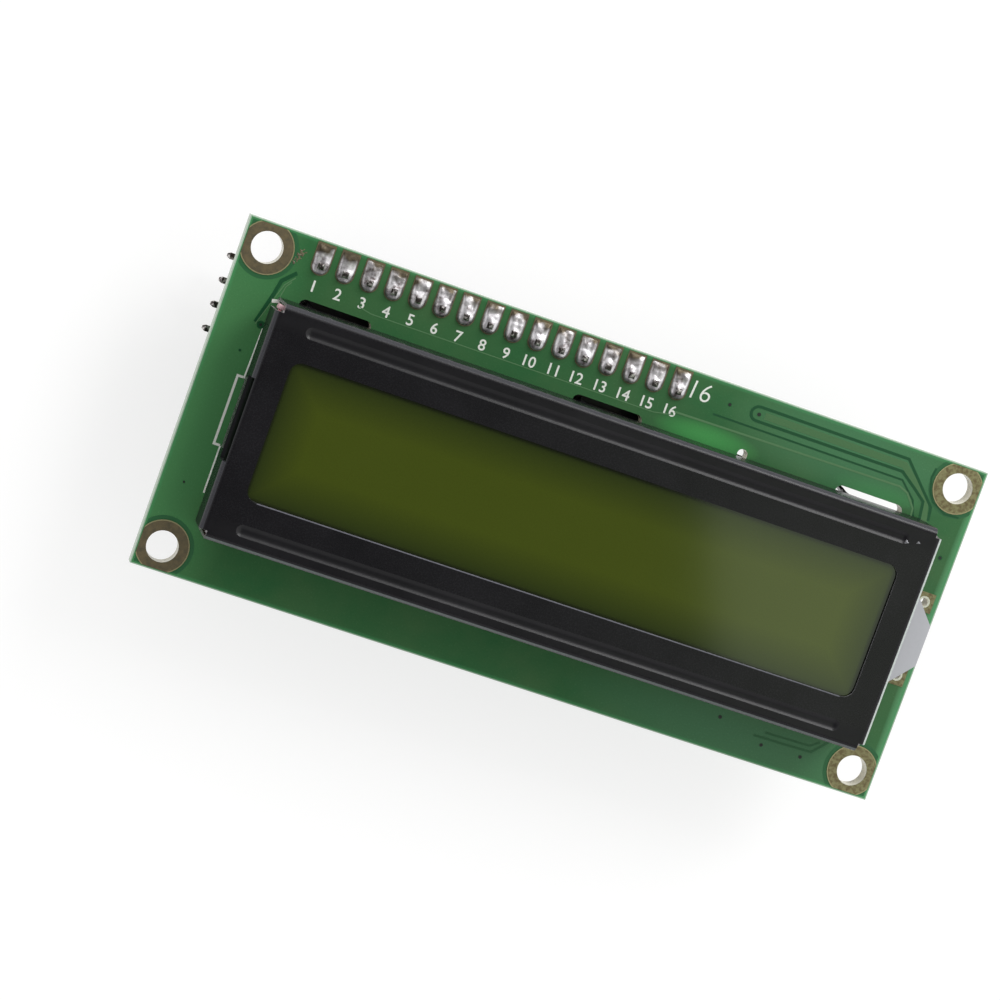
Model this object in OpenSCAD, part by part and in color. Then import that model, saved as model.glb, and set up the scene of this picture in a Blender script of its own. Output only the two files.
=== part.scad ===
// Character display module: a liquid crystal cell in a folded bezel on a long circuit board,
// with a small serial adapter board carried behind it on a row of pins.
// X runs along the pin row, Y runs up to the header edge and Z points out of the display.
// The origin is the middle of the board on its front face.

/* [Main board] */
// Length of the main board
board_l = 80; // [79:0.5:100]
// Height of the main board
board_w = 36; // [35.5:0.5:50]
// Thickness of the main board
board_t = 1.6; // [1:0.1:2.4]
// Distance from the ends of the board to the middle of a mounting hole
hole_end = 2.5; // [2.4:0.05:3.5]
// Distance from the long edges of the board to the middle of a mounting hole
hole_side = 2.5; // [2.4:0.05:3.5]
// Diameter of a mounting hole
hole_d = 3.2; // [2.5:0.1:3.6]
// Width of the plated ring round a mounting hole
ring_w = 1.02; // [0.5:0.02:1.2]
// Bare strip between the lands and the edge of the board
land_margin = 0.2; // [0.1:0.05:0.5]
// Thickness of the plated lands
land_t = 0.05; // [0.03:0.01:0.1]
// Diameter of the drilled hole above the bezel
drilled_d = 1.1; // [0.6:0.05:1.4]
// Distance from the left edge of the board to the drilled hole
drilled_in = 54.73; // [53:0.01:56]
// Gap between the bezel and the middle of the drilled hole
drilled_out = 0.25; // [0.1:0.05:0.6]
// Inner diameter of the ringed hole behind the ear
ringed_d = 0.8; // [0.5:0.05:1]
// Distance from the right edge of the board to the ringed hole
ringed_in = 4.03; // [3.9:0.01:4.6]
// Distance of the ringed hole below the middle of the board
ringed_down = 2.01; // [1.5:0.01:2.5]

/* [Pin header] */
// Number of pins in the header
pin_n = 16; // [14:1:16]
// Distance between two pins
pitch = 2.54; // [2.5:0.01:2.6]
// Side of a square pin
pin_s = 0.64; // [0.5:0.02:0.7]
// Distance from the left edge of the board to the first pin
pin1_inset = 8; // [7:0.1:9]
// Distance from the top edge of the board to the pin row
pin_row_inset = 2.5; // [2.3:0.1:2.8]
// Length of pin that stands out in front of the board
pin_front = 0.95; // [0.7:0.05:1.5]
// Length of pin that stands out behind the adapter board
pin_rear = 1.1; // [0.7:0.05:1.5]
// Length of the tapered tip of a pin
pin_tip = 0.3; // [0.1:0.05:0.5]
// Width of a bullet-shaped land in the pin row
pin_land_w = 1.9; // [1.6:0.05:2.1]
// Height of the plastic strip between the boards
spacer_h = 2.54; // [2.5:0.1:5]
// Gap between a pin and the hole it stands in
pin_gap = 0.13; // [0.08:0.01:0.2]
// Height of a solder joint
solder_h = 0.75; // [0.4:0.05:1]
// Radius of a solder joint at its foot
solder_r = 0.82; // [0.7:0.02:0.9]
// Height of the flat foot of a solder joint
solder_foot = 0.2; // [0.1:0.02:0.3]

/* [Bezel] */
// Distance from the ends of the board to the bezel
bezel_end = 4.4; // [4.2:0.1:5.5]
// Width of the bezel
bezel_w = 24; // [23:0.2:24.6]
// Height of the bezel above the board
bezel_h = 6.5; // [5.5:0.1:9]
// Distance of the bezel below the middle of the board
bezel_down = 0.65; // [0:0.05:1]
// Thickness of the sheet
sheet_t = 0.3; // [0.2:0.05:0.4]
// Outer radius of the folds
fold_r = 0.7; // [0.45:0.05:0.85]
// Distance from the ends of the bezel to the window
window_end = 3.2; // [2.9:0.1:5]
// Distance from the sides of the bezel to the window
window_side = 4.9; // [4.8:0.1:6]
// Corner radius of the window
window_r = 1.2; // [0.5:0.1:2]
// Length of the corner relief along the long sides
relief_l = 0.85; // [0.85:0.05:1.5]
// Length of the corner relief along the short sides
relief_w = 0.9; // [0.85:0.05:1.5]
// Gap between the end walls and the board
end_wall_lift = 2.2; // [1.1:0.05:2.6]
// Length of the cut-out in the left end wall
end_cut_l = 8.5; // [4:0.1:12]
// Depth of the cut-out below the face of the bezel
end_cut_h = 2.6; // [1:0.1:3]
// Reach of the cut-out from the outer face of the wall into the fold
end_cut_in = 0.35; // [0.32:0.01:0.6]

/* [Beads] */
// Distance from the ends of the bezel to a pressed bead
bead_end = 3.45; // [2.8:0.05:8]
// Width of the groove of a bead
bead_w = 1.2; // [0.9:0.05:1.4]
// Height of the ridge under a bead
bead_h = 0.25; // [0.25:0.05:0.4]
// Depth of the groove of a bead
bead_groove = 0.2; // [0.1:0.02:0.24]
// Distance from the side of the bezel to the middle of a bead
bead_inset = 1.93; // [1.9:0.01:2.3]

/* [Bezel tabs] */
// Distance from the ends of the bezel to the middle of an outer tab
tab_inset = 6.6; // [6:0.1:9]
// Length of a slot for a tab
slot_l = 7.5; // [7:0.1:9]
// Width of a slot for a tab
slot_w = 1.3; // [1.1:0.05:1.6]
// Distance from the middle of the bezel wall out to the middle of a slot
slot_out = 0.1; // [0:0.02:0.2]
// Width of the neck of a tab
neck_w = 1.5; // [1:0.1:1.8]
// Distance from the middle of a slot to the neck
neck_off = 2.1; // [1:0.1:2.5]
// Length of the head of a tab
head_l = 7.7; // [5:0.1:8]
// Overhang of the head beyond its neck on the short side
head_short = 1.9; // [1:0.1:2.5]
// Height of the head of a tab
head_h = 1.7; // [1:0.1:2]
// Twist of a tab
tab_twist = 33; // [15:1:40]
// Length of the plated land beside a tab
tab_land_l = 7.1; // [6:0.1:8]
// Width of the plated land beside a tab
tab_land_w = 2.45; // [1.5:0.05:3]
// Gap between a slot and its land
tab_land_gap = 0.35; // [0.2:0.05:0.8]

/* [Display cell] */
// Thickness of each glass
glass_t = 1.1; // [0.5:0.1:1.2]
// Gap between the glass and the end walls of the bezel
glass_end_gap = 0.5; // [0.2:0.05:0.8]
// Gap between the front glass and the side walls of the bezel
glass_side_gap = 0.4; // [0.3:0.05:0.6]
// Width of the contact ledge of the front glass
ledge_w = 3.1; // [2.9:0.05:3.2]
// Thickness of a polarizer
polarizer_t = 0.2; // [0.1:0.02:0.22]
// Distance from the end of the glass to the polarizer
polarizer_end_inset = 1.6; // [1:0.1:2]
// Distance from the side of the rear glass to the polarizer
polarizer_side_inset = 0.8; // [0.7:0.05:0.85]
// Width of a conductive rubber strip
zebra_w = 2.5; // [1.8:0.1:2.6]
// Distance from the end of the glass to the end of a rubber strip
zebra_end = 0.3; // [0.1:0.05:3]
// Gap between a rubber strip and the backlight tray
zebra_gap = 0.3; // [0.1:0.01:0.4]

/* [Backlight] */
// Thickness of the floor of the backlight tray
tray_floor = 0.95; // [0.7:0.05:1.05]
// Overhang of the backlight tray beyond the rear glass
tray_over = 0.1; // [0:0.02:0.2]
// Distance from the end of the glass to the end of the tray
tray_end_inset = 0.2; // [0:0.05:0.4]
// Gap between the films and the walls of the tray
pocket_gap = 0.1; // [0.05:0.01:0.2]
// Thickness of the reflector film
reflector_t = 0.15; // [0.1:0.01:0.3]
// Thickness of the diffuser film
diffuser_t = 0.25; // [0.1:0.01:0.4]
// Room for the LED bar at the right end of the tray
led_bay = 2.2; // [1.8:0.1:3]
// Number of LEDs on the bar
led_n = 4; // [2:1:5]
// Distance from the ends of the bar to the outer LEDs
led_end = 0.5; // [0.2:0.1:1]
// Thickness of the ear of the tray
ear_t = 0.8; // [0.4:0.05:0.9]
// Gap between the ear and the board
ear_lift = 0.1; // [0.06:0.01:0.15]
// Gap between the ear and the right edge of the board
ear_margin = 0.34; // [0.2:0.02:0.6]
// Width of the ear at its end
ear_tip_w = 4.35; // [4:0.05:5]
// Width of the ear at its root
ear_root_w = 11; // [8:0.1:12]
// Length of the sloped sides of the ear
ear_slope_l = 3; // [2:0.1:3.2]
// Distance of the ear below the middle of the board
ear_down = 0.88; // [0.6:0.02:1]
// Distance from the right edge of the board to the backlight leads
lead_inset = 1.3; // [1.2:0.05:1.6]
// Distance between the backlight leads
lead_dy = 2.65; // [2:0.05:2.8]
// Diameter of a backlight lead
lead_d = 0.6; // [0.4:0.05:0.7]
// Depth of the lead in the ear
lead_grip = 0.4; // [0.2:0.05:0.5]
// Side of a square backlight land
lamp_land_s = 2.05; // [1.6:0.05:2.2]
// Distance between the square backlight lands
lamp_land_dy = 8.05; // [7.8:0.05:8.6]
// Distance of the backlight lands and leads below the middle of the board
lamp_down = 0.6; // [0.4:0.05:0.8]
// Distance from the right edge of the board to the middle of the square lands
lamp_land_inset = 1.6; // [1.4:0.05:1.8]
// Diameter of the plated hole in a square land
lamp_hole_d = 0.87; // [0.6:0.01:1]

/* [Parts on the main board] */
// Distance from the left edge of the board to the middle of the first epoxy dome
dome_in = 30.5; // [30:0.1:32]
// Distance between the middles of the epoxy domes
dome_dx = 24; // [20:0.5:26]
// Distance of the epoxy domes below the middle of the board
dome_down = 3.5; // [3:0.1:4]
// Radius of an epoxy dome
dome_r = 5.5; // [4:0.1:6]
// Height of an epoxy dome
dome_h = 1.2; // [0.8:0.1:1.5]
// Number of chip resistors in the column
column_n = 6; // [2:1:6]
// Distance between two resistors of the column
column_dy = 2.28; // [2:0.02:2.3]
// Distance from the left edge of the board to the column
column_inset = 9.1; // [8:0.1:9.5]
// Distance from the lower edge of the board to the column
column_up = 11.3; // [11:0.1:12]
// Distance from the left edge of the board to the single resistor
lone_in = 17.6; // [17:0.1:18.5]
// Distance from the lower edge of the board to the single resistor
lone_up = 14; // [13:0.1:15]
// Length of a chip part
chip_l = 2; // [1.8:0.05:2.2]
// Width of a chip part
chip_w = 1.25; // [1:0.05:1.4]
// Height of a chip part
chip_h = 0.55; // [0.4:0.05:0.8]
// Length of an end cap of a chip part
chip_cap = 0.38; // [0.25:0.02:0.5]
// Reach of the solder beyond an end cap
chip_fillet = 0.5; // [0.3:0.05:0.6]

/* [Adapter board] */
// Length of the adapter board
adapter_l = 41.3; // [41:0.1:46]
// Width of the adapter board
adapter_w = 19.2; // [19:0.1:24]
// Thickness of the adapter board
adapter_t = 1.6; // [1:0.1:2]
// Distance from the first pin to the left edge of the adapter board
adapter_left = 1.5; // [1.3:0.1:2.5]
// Distance from the pin row to the top edge of the adapter board
adapter_top = 1.3; // [1.1:0.1:2]
// Length of the tails behind the pins of the small headers
tail_h = 0.75; // [0.5:0.05:0.8]
// Radius of a small solder joint
tail_r = 0.7; // [0.5:0.02:0.8]

/* [Expander chip] */
// Length of the moulded body
soic_l = 10.3; // [10:0.1:10.6]
// Width of the moulded body
soic_w = 7.5; // [7:0.1:7.6]
// Height of the moulded body
soic_h = 2.35; // [1.6:0.05:2.6]
// Span over the leads
soic_span = 10.3; // [9.9:0.1:10.5]
// Number of leads on one side
soic_n = 8; // [7:1:8]
// Distance between two leads
soic_pitch = 1.27; // [1.2:0.01:1.3]
// Width of a lead
soic_lead_w = 0.42; // [0.3:0.02:0.5]
// Thickness of a lead
soic_lead_t = 0.25; // [0.15:0.01:0.3]
// Gap between the chip and the adapter board
soic_lift = 0.1; // [0.05:0.01:0.2]
// Distance from the left edge of the adapter board to the middle of the chip
soic_in = 20.1; // [20:0.1:20.8]
// Distance from the pin row down to the middle of the chip
soic_down = 7.95; // [7.5:0.05:9]

/* [Trimmer] */
// Side of the trimmer body
trim_s = 6.7; // [6.2:0.1:7]
// Height of the trimmer body
trim_h = 4.9; // [4:0.1:6]
// Chamfer of two corners of the body
trim_chamfer = 0.75; // [0.4:0.05:1]
// Distance from the left edge of the adapter board to the middle of the trimmer
trim_in = 9.5; // [9:0.1:10]
// Distance from the pin row down to the middle of the trimmer
trim_down = 6.8; // [6:0.1:7.5]
// Diameter of the rotor
rotor_d = 3.1; // [2.6:0.1:3.4]
// Length of the rotor
rotor_h = 1.6; // [1:0.1:2.5]
// Depth of the rotor's face below the top of the body
rotor_sink = 0.12; // [0.05:0.01:0.3]
// Gap between the rotor and its bore
rotor_gap = 0.06; // [0.03:0.01:0.1]
// Width of the cross slot
cross_w = 0.75; // [0.4:0.05:0.9]
// Depth of the cross slot
cross_h = 0.65; // [0.3:0.05:0.9]
// Number of marks round the dial
dial_n = 15; // [10:1:16]
// Radius of the inner line of the dial
dial_r = 2.02; // [1.9:0.02:2.2]
// Radius of the tips of the dial marks
dial_tip_r = 2.55; // [2.4:0.02:2.8]
// Width of the engraved lines
dial_line = 0.1; // [0.06:0.01:0.14]
// Depth of the engraved lines
dial_depth = 0.1; // [0.05:0.01:0.2]

/* [Small headers] */
// Number of pins of the bus header
bus_n = 4; // [3:1:4]
// Height of the plastic base
base_h = 2.5; // [2.3:0.1:3]
// Width of the plastic base
base_w = 2.5; // [2.3:0.1:2.5]
// Corner notch between two segments of a plastic base
base_notch = 0.45; // [0.2:0.05:0.6]
// Distance from the pins to the end of the adapter board
base_in = 1.35; // [1.3:0.05:2]
// Distance of the bus header above the middle of the adapter board
bus_up = 2.1; // [1.5:0.1:2.2]
// Length of the bent part of a bus pin
bus_run = 7.75; // [6:0.05:9]
// Height of the bent part above the plastic base
run_lift = 0.5; // [0.4:0.05:1]
// Inner radius of the bend of a pin
bend_r = 0.15; // [0.1:0.05:0.2]

/* [Jumper] */
// Length of the bent part of a jumper pin
jumper_run = 6.6; // [6.4:0.1:7]
// Length of the cap
cap_l = 6; // [5.8:0.1:7]
// Width of the cap
cap_w = 4.96; // [4.8:0.02:5]
// Thickness of the cap
cap_t = 2.5; // [2.3:0.1:2.6]
// Gap between the cap and the plastic base
cap_gap = 0.28; // [0.2:0.02:0.4]
// Thickness of the spring clip
clip_t = 0.18; // [0.1:0.02:0.2]
// Gap between the spring clip and a pin
clip_gap = 0.04; // [0.03:0.01:0.06]
// Depth of the pocket in the cap
pocket_d = 5.3; // [5.1:0.1:5.5]

/* [Hidden] */
$fn = 48;

// Overlap that joins pieces of one solid and lets cutters run past a face
eps = 0.02;
// Length by which a cutter passes a face
past = 1;

// Heights of the board faces, counted down from the front face of the main board
back_z = -board_t;
spacer_top_z = back_z - land_t;
adapter_front_z = spacer_top_z - spacer_h;
adapter_back_z = adapter_front_z - adapter_t;
row_y = board_w / 2 - pin_row_inset;
pin1_x = -board_l / 2 + pin1_inset;
pin_hole_d = pin_s * sqrt(2) + 2 * pin_gap;

// Heights inside the bezel
plate_z = bezel_h - sheet_t;
glass_top_z = plate_z - max(bead_h, polarizer_t);
front_glass_z = glass_top_z - glass_t;
rear_glass_z = front_glass_z - glass_t;
rear_film_z = rear_glass_z - polarizer_t;
diffuser_z = rear_film_z - diffuser_t;
guide_z = tray_floor + reflector_t;

// Sizes of the bezel and of the layers under it
bezel_l = board_l - 2 * bezel_end;
window_l = bezel_l - 2 * window_end;
window_w = bezel_w - 2 * window_side;
bead_l = bezel_l - 2 * bead_end;
tab_dx = bezel_l / 2 - tab_inset;
glass_l = bezel_l - 2 * (sheet_t + glass_end_gap);
front_glass_w = bezel_w - 2 * (sheet_t + glass_side_gap);
rear_glass_w = front_glass_w - 2 * ledge_w;
polarizer_l = glass_l - 2 * polarizer_end_inset;
polarizer_w = rear_glass_w - 2 * polarizer_side_inset;
tray_l = glass_l - 2 * tray_end_inset;
tray_w = rear_glass_w + 2 * tray_over;
pocket_l = polarizer_l + 2 * pocket_gap;
pocket_w = polarizer_w + 2 * pocket_gap;
zebra_y = tray_w / 2 + zebra_gap + zebra_w / 2;
zebra_l = glass_l - 2 * zebra_end;

// Places on the main board
wall_y = bezel_w / 2 - sheet_t / 2;
slot_y = wall_y + slot_out;
tab_land_y = slot_y - slot_w / 2 - tab_land_gap - tab_land_w / 2;
lead_x = board_l / 2 - lead_inset;
lamp_land_x = board_l / 2 - lamp_land_inset;
ear_x = board_l / 2 - ear_margin;
column_x = -board_l / 2 + column_inset;
column_y = -board_w / 2 + column_up;
lone_x = -board_l / 2 + lone_in;
lone_y = -board_w / 2 + lone_up;
dome_x = -board_l / 2 + dome_in;
drilled_site = [-board_l / 2 + drilled_in, bezel_w / 2 - bezel_down + drilled_out];
ringed_site = [board_l / 2 - ringed_in, -ringed_down];

// Places on the adapter board
adapter_x = pin1_x - adapter_left;
adapter_y = row_y + adapter_top - adapter_w;
adapter_mid_y = adapter_y + adapter_w / 2;
soic_x = adapter_x + soic_in;
soic_y = row_y - soic_down;
trim_x = adapter_x + trim_in;
trim_y = row_y - trim_down;
trim_top_z = adapter_back_z - trim_h;
trim_pin_sites = [[-pitch, -pitch], [0, pitch], [pitch, -pitch]];
bus_x = adapter_x + base_in;
bus_y = adapter_mid_y + bus_up;
jumper_x = adapter_x + adapter_l - base_in;
base_top_z = adapter_back_z - base_h;
run_z = base_top_z - run_lift;
cap_x = jumper_x + base_w / 2 + cap_gap;
jumper_n = 2;

// Chip parts on the adapter board, from its right edge and its middle: [in, up, turn]
adapter_right_x = adapter_x + adapter_l;
resistor_sites = [[9.8, 4.6, 90], [9.8, 0.6, 90], [5.6, -5.2, 0]];
capacitor_site = [11.2, -6.6, 0];
led_site = [4.4, 5.4];
sot_site = [6.2, -1.2];

// Half height of the space between the leaves of the clip, and of the pocket round them
leaf_z = pin_s / 2 + clip_gap;
pocket_z = leaf_z + clip_t;
leaf_w = 0.9;
pocket_y = pitch / 2 + leaf_w / 2 + clip_gap;

// Sizes of the small LED and of the transistor
led_body_h = 0.3;
sot_l = 2.9;
sot_w = 1.3;
sot_h = 1;
sot_lift = 0.1;

function pin_x(i) = pin1_x + pitch * i;
function row_place(i, n) = (i - (n - 1) / 2) * pitch;

// Flat rectangle with round corners
module rounded_rect(l, w, r) {
    square([l - 2 * r, w], center = true);
    square([l, w - 2 * r], center = true);
    for (sx = [-1, 1]) {
        for (sy = [-1, 1]) {
            translate([sx * (l / 2 - r), sy * (w / 2 - r)]) circle(r);
        }
    }
}

// Flat slot with round ends along X
module slot_2d(l, w) {
    square([l - w, w], center = true);
    translate([(l - w) / 2, 0]) circle(w / 2);
    translate([-(l - w) / 2, 0]) circle(w / 2);
}

// Block centred on X and Y between two heights
module slab(l, w, z0, z1) {
    translate([-l / 2, -w / 2, z0]) cube([l, w, z1 - z0]);
}

module at_mounting_holes() {
    for (sx = [-1, 1]) {
        for (sy = [-1, 1]) {
            translate([sx * (board_l / 2 - hole_end), sy * (board_w / 2 - hole_side), 0]) children();
        }
    }
}

module at_header_pins() {
    for (i = [0 : pin_n - 1]) {
        translate([pin_x(i), row_y, 0]) children();
    }
}

// The six tab places: the upper row is the lower row turned half round
module at_tabs() {
    translate([0, -bezel_down, 0]) {
        for (turn = [0, 180]) {
            rotate([0, 0, turn]) {
                for (i = [-1, 0, 1]) {
                    translate([i * tab_dx, 0, 0]) children();
                }
            }
        }
    }
}

module at_backlight_leads() {
    for (s = [-1, 1]) {
        translate([lead_x, -lamp_down + s * lead_dy / 2, 0]) children();
    }
}

module at_backlight_lands() {
    for (s = [-1, 1]) {
        translate([lamp_land_x, -lamp_down + s * lamp_land_dy / 2, 0]) children();
    }
}

module at_bus_pins() {
    for (i = [0 : bus_n - 1]) {
        translate([bus_x, bus_y + row_place(i, bus_n), 0]) children();
    }
}

module at_jumper_pins() {
    for (i = [0 : jumper_n - 1]) {
        translate([jumper_x, adapter_mid_y + row_place(i, jumper_n), 0]) children();
    }
}

module at_trimmer_pins() {
    for (p = trim_pin_sites) {
        translate([trim_x + p[0], trim_y + p[1], 0]) children();
    }
}

// Main circuit board

module main_board() {
    color("darkgreen")
    difference() {
        slab(board_l, board_w, back_z, 0);
        translate([0, 0, back_z - past]) {
            at_mounting_holes() cylinder(h = board_t + 2 * past, d = hole_d);
            at_header_pins() cylinder(h = board_t + 2 * past, d = pin_hole_d);
            at_backlight_leads() cylinder(h = board_t + 2 * past, d = lead_d + 2 * pin_gap);
            at_backlight_lands() cylinder(h = board_t + 2 * past, d = lamp_hole_d);
            at_tabs() translate([0, -slot_y, 0]) linear_extrude(board_t + 2 * past) slot_2d(slot_l, slot_w);
            translate(drilled_site) cylinder(h = board_t + 2 * past, d = drilled_d);
            translate(ringed_site) cylinder(h = board_t + 2 * past, d = ringed_d);
        }
    }
}

// The same thin shape laid on both faces of the main board
module on_both_faces() {
    linear_extrude(land_t) children();
    translate([0, 0, back_z - land_t]) linear_extrude(land_t) children();
}

module mounting_lands() {
    color("darkgoldenrod")
    on_both_faces() {
        intersection() {
            square([board_l - 2 * land_margin, board_w - 2 * land_margin], center = true);
            difference() {
                at_mounting_holes() circle(d = hole_d + 2 * ring_w);
                at_mounting_holes() circle(d = hole_d);
            }
        }
    }
}

module tab_lands() {
    color("wheat")
    translate([0, 0, back_z - land_t]) {
        at_tabs() translate([0, -tab_land_y, 0]) slab(tab_land_l, tab_land_w, 0, land_t);
    }
}

// Bullet-shaped land: round end about the pin, straight sides up to the edge of the board
module pin_land_2d(w) {
    circle(d = w);
    translate([-w / 2, 0]) square([w, pin_row_inset - land_margin]);
}

module header_lands() {
    color("wheat")
    on_both_faces() {
        difference() {
            at_header_pins() pin_land_2d(pin_land_w);
            at_header_pins() circle(d = pin_hole_d);
        }
    }
}

module backlight_lands() {
    color("darkgoldenrod")
    on_both_faces() {
        difference() {
            at_backlight_lands() square(lamp_land_s, center = true);
            at_backlight_lands() circle(d = lamp_hole_d);
        }
    }
}

// Bezel, folded from one sheet

// Section of a folded side: outer face at x = 0, top face at y = 0, wall down to -h
module fold_section(h) {
    difference() {
        translate([-fold_r, -fold_r]) circle(fold_r);
        translate([-fold_r, -fold_r]) circle(fold_r - sheet_t);
        translate([-2 * fold_r - eps, -2 * fold_r - eps]) square([fold_r + eps, 2 * fold_r + 2 * eps]);
        translate([-2 * fold_r - eps, -2 * fold_r - eps]) square([2 * fold_r + 2 * eps, fold_r + eps]);
    }
    translate([-sheet_t, -h]) square([sheet_t, h - fold_r]);
}

// Folded side of a given length whose outer face looks along +X
module folded_side(len, h) {
    translate([0, len / 2, bezel_h]) rotate([90, 0, 0]) linear_extrude(len) fold_section(h);
}

// Round-bottomed groove along X, cut down from the face of the bezel
module bead_cutter() {
    cut_r = (bead_w * bead_w / 4 + bead_groove * bead_groove) / (2 * bead_groove);
    translate([0, 0, bezel_h + cut_r - bead_groove]) {
        translate([-(bead_l - bead_w) / 2, 0, 0]) rotate([0, 90, 0]) cylinder(h = bead_l - bead_w, r = cut_r);
        translate([(bead_l - bead_w) / 2, 0, 0]) sphere(cut_r);
        translate([-(bead_l - bead_w) / 2, 0, 0]) sphere(cut_r);
    }
}

module at_beads() {
    for (s = [-1, 1]) {
        translate([0, s * (bezel_w / 2 - bead_inset), 0]) children();
    }
}

module bezel_face() {
    difference() {
        union() {
            slab(bezel_l - 2 * fold_r, bezel_w - 2 * fold_r, plate_z, bezel_h);
            translate([0, 0, plate_z - bead_h]) {
                at_beads() linear_extrude(bead_h + eps) slot_2d(bead_l, bead_w);
            }
        }
        translate([0, 0, plate_z - past]) {
            linear_extrude(sheet_t + 2 * past) rounded_rect(window_l, window_w, window_r);
        }
        at_beads() bead_cutter();
    }
}

// Tab of the lower row: neck through the slot, then a head turned over the land
module tab() {
    steps = 6;
    neck_h = board_t + land_t;
    step_h = neck_h / steps;
    translate([neck_off, -wall_y, 0]) {
        slab(neck_w, sheet_t, -step_h, fold_r);
        for (i = [1 : steps - 1]) {
            rotate([0, 0, -tab_twist * i / (steps - 1)]) slab(neck_w, sheet_t, -(i + 1) * step_h, -i * step_h);
        }
        rotate([0, 0, -tab_twist]) {
            translate([head_short - head_l, -sheet_t / 2, -neck_h - head_h]) cube([head_l, sheet_t, head_h]);
        }
    }
}

module bezel() {
    side_l = bezel_l - 2 * relief_l;
    end_l = bezel_w - 2 * relief_w;
    color([0.13, 0.13, 0.14]) {
        translate([0, -bezel_down, 0]) {
            bezel_face();
            translate([bezel_l / 2, 0, 0]) folded_side(end_l, bezel_h - end_wall_lift);
            difference() {
                rotate([0, 0, 180]) translate([bezel_l / 2, 0, 0]) folded_side(end_l, bezel_h - end_wall_lift);
                translate([-bezel_l / 2 - past, -end_cut_l / 2, bezel_h - end_cut_h]) {
                    cube([end_cut_in + past, end_cut_l, end_cut_h + past]);
                }
            }
            for (turn = [90, -90]) {
                rotate([0, 0, turn]) translate([bezel_w / 2, 0, 0]) folded_side(side_l, bezel_h);
            }
        }
        at_tabs() tab();
    }
}

// Display cell and backlight, stacked under the bezel

module layer(l, w, z0, z1) {
    translate([0, -bezel_down, 0]) slab(l, w, z0, z1);
}

module front_polarizer() {
    color([0.35, 0.38, 0.15]) layer(polarizer_l, polarizer_w, glass_top_z, glass_top_z + polarizer_t);
}

module front_glass() {
    color([0.7, 0.8, 0.7, 0.5]) layer(glass_l, front_glass_w, front_glass_z, glass_top_z);
}

module rear_glass() {
    color([0.7, 0.8, 0.7, 0.5]) layer(glass_l, rear_glass_w, rear_glass_z, front_glass_z);
}

module rear_polarizer() {
    color([0.35, 0.38, 0.15]) layer(polarizer_l, polarizer_w, rear_film_z, rear_glass_z);
}

module zebra_strip(side) {
    translate([0, side * zebra_y, 0]) layer(zebra_l, zebra_w, 0, front_glass_z);
}

module upper_zebra_strip() {
    color("hotpink") zebra_strip(1);
}

module lower_zebra_strip() {
    color("hotpink") zebra_strip(-1);
}

module diffuser() {
    color("white") layer(polarizer_l, polarizer_w, diffuser_z, rear_film_z);
}

module light_guide() {
    color("honeydew")
    translate([-led_bay / 2, 0, 0]) layer(polarizer_l - led_bay, polarizer_w, guide_z, diffuser_z);
}

module reflector() {
    color("whitesmoke") layer(polarizer_l, polarizer_w, tray_floor, guide_z);
}

module ear_2d() {
    root_x = tray_l / 2 - eps;
    polygon([
        [root_x, ear_root_w / 2], [ear_x - ear_slope_l, ear_root_w / 2], [ear_x, ear_tip_w / 2],
        [ear_x, -ear_tip_w / 2], [ear_x - ear_slope_l, -ear_root_w / 2], [root_x, -ear_root_w / 2]
    ]);
}

module backlight_case() {
    color("gainsboro")
    difference() {
        union() {
            layer(tray_l, tray_w, 0, rear_glass_z);
            translate([0, -ear_down, ear_lift]) linear_extrude(ear_t) ear_2d();
        }
        layer(pocket_l, pocket_w, tray_floor, rear_glass_z + past);
        translate([0, 0, -eps]) at_backlight_leads() cylinder(h = ear_lift + lead_grip + eps, d = lead_d);
    }
}

// LED bar: a strip on edge with the LEDs looking into the end of the light guide
module backlight_leds() {
    strip_t = 0.6;
    led_l = 2.4;
    guide_gap = 0.3;
    led_t = led_bay - strip_t - guide_gap;
    led_h = diffuser_z - guide_z;
    span = polarizer_w - led_l - 2 * led_end;
    color("khaki")
    translate([polarizer_l / 2, -bezel_down, guide_z]) {
        translate([-strip_t, -polarizer_w / 2, 0]) cube([strip_t, polarizer_w, led_h]);
        for (i = [0 : led_n - 1]) {
            translate([-strip_t - led_t, -span / 2 + i * span / (led_n - 1) - led_l / 2, 0]) {
                cube([led_t + eps, led_l, led_h - diffuser_t]);
            }
        }
    }
}

module backlight_leads() {
    lead_top = ear_lift + lead_grip;
    color("silver")
    translate([0, 0, back_z - solder_h]) at_backlight_leads() cylinder(h = lead_top - back_z + solder_h, d = lead_d);
}

module backlight_solder() {
    color("silver")
    difference() {
        at_backlight_leads() solder_joint_down(back_z, tail_r);
        translate([0, 0, back_z - solder_h - past]) {
            at_backlight_leads() cylinder(h = solder_h + 2 * past, d = lead_d);
        }
    }
}

// Epoxy domes over the controller dies
module controller_domes() {
    ball_r = (dome_r * dome_r + dome_h * dome_h) / (2 * dome_h);
    color([0.1, 0.1, 0.1])
    for (dx = [0, dome_dx]) {
        translate([dome_x + dx, -dome_down, 0]) {
            intersection() {
                translate([0, 0, back_z - dome_h + ball_r]) sphere(ball_r, $fn = 192);
                translate([0, 0, back_z - dome_h]) cylinder(h = dome_h, r = dome_r + past);
            }
        }
    }
}

// Chip parts lie under a face at height z, long along X
module chip_body(z) {
    translate([-chip_l / 2 + chip_cap, -chip_w / 2, z - chip_h]) cube([chip_l - 2 * chip_cap, chip_w, chip_h]);
}

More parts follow.
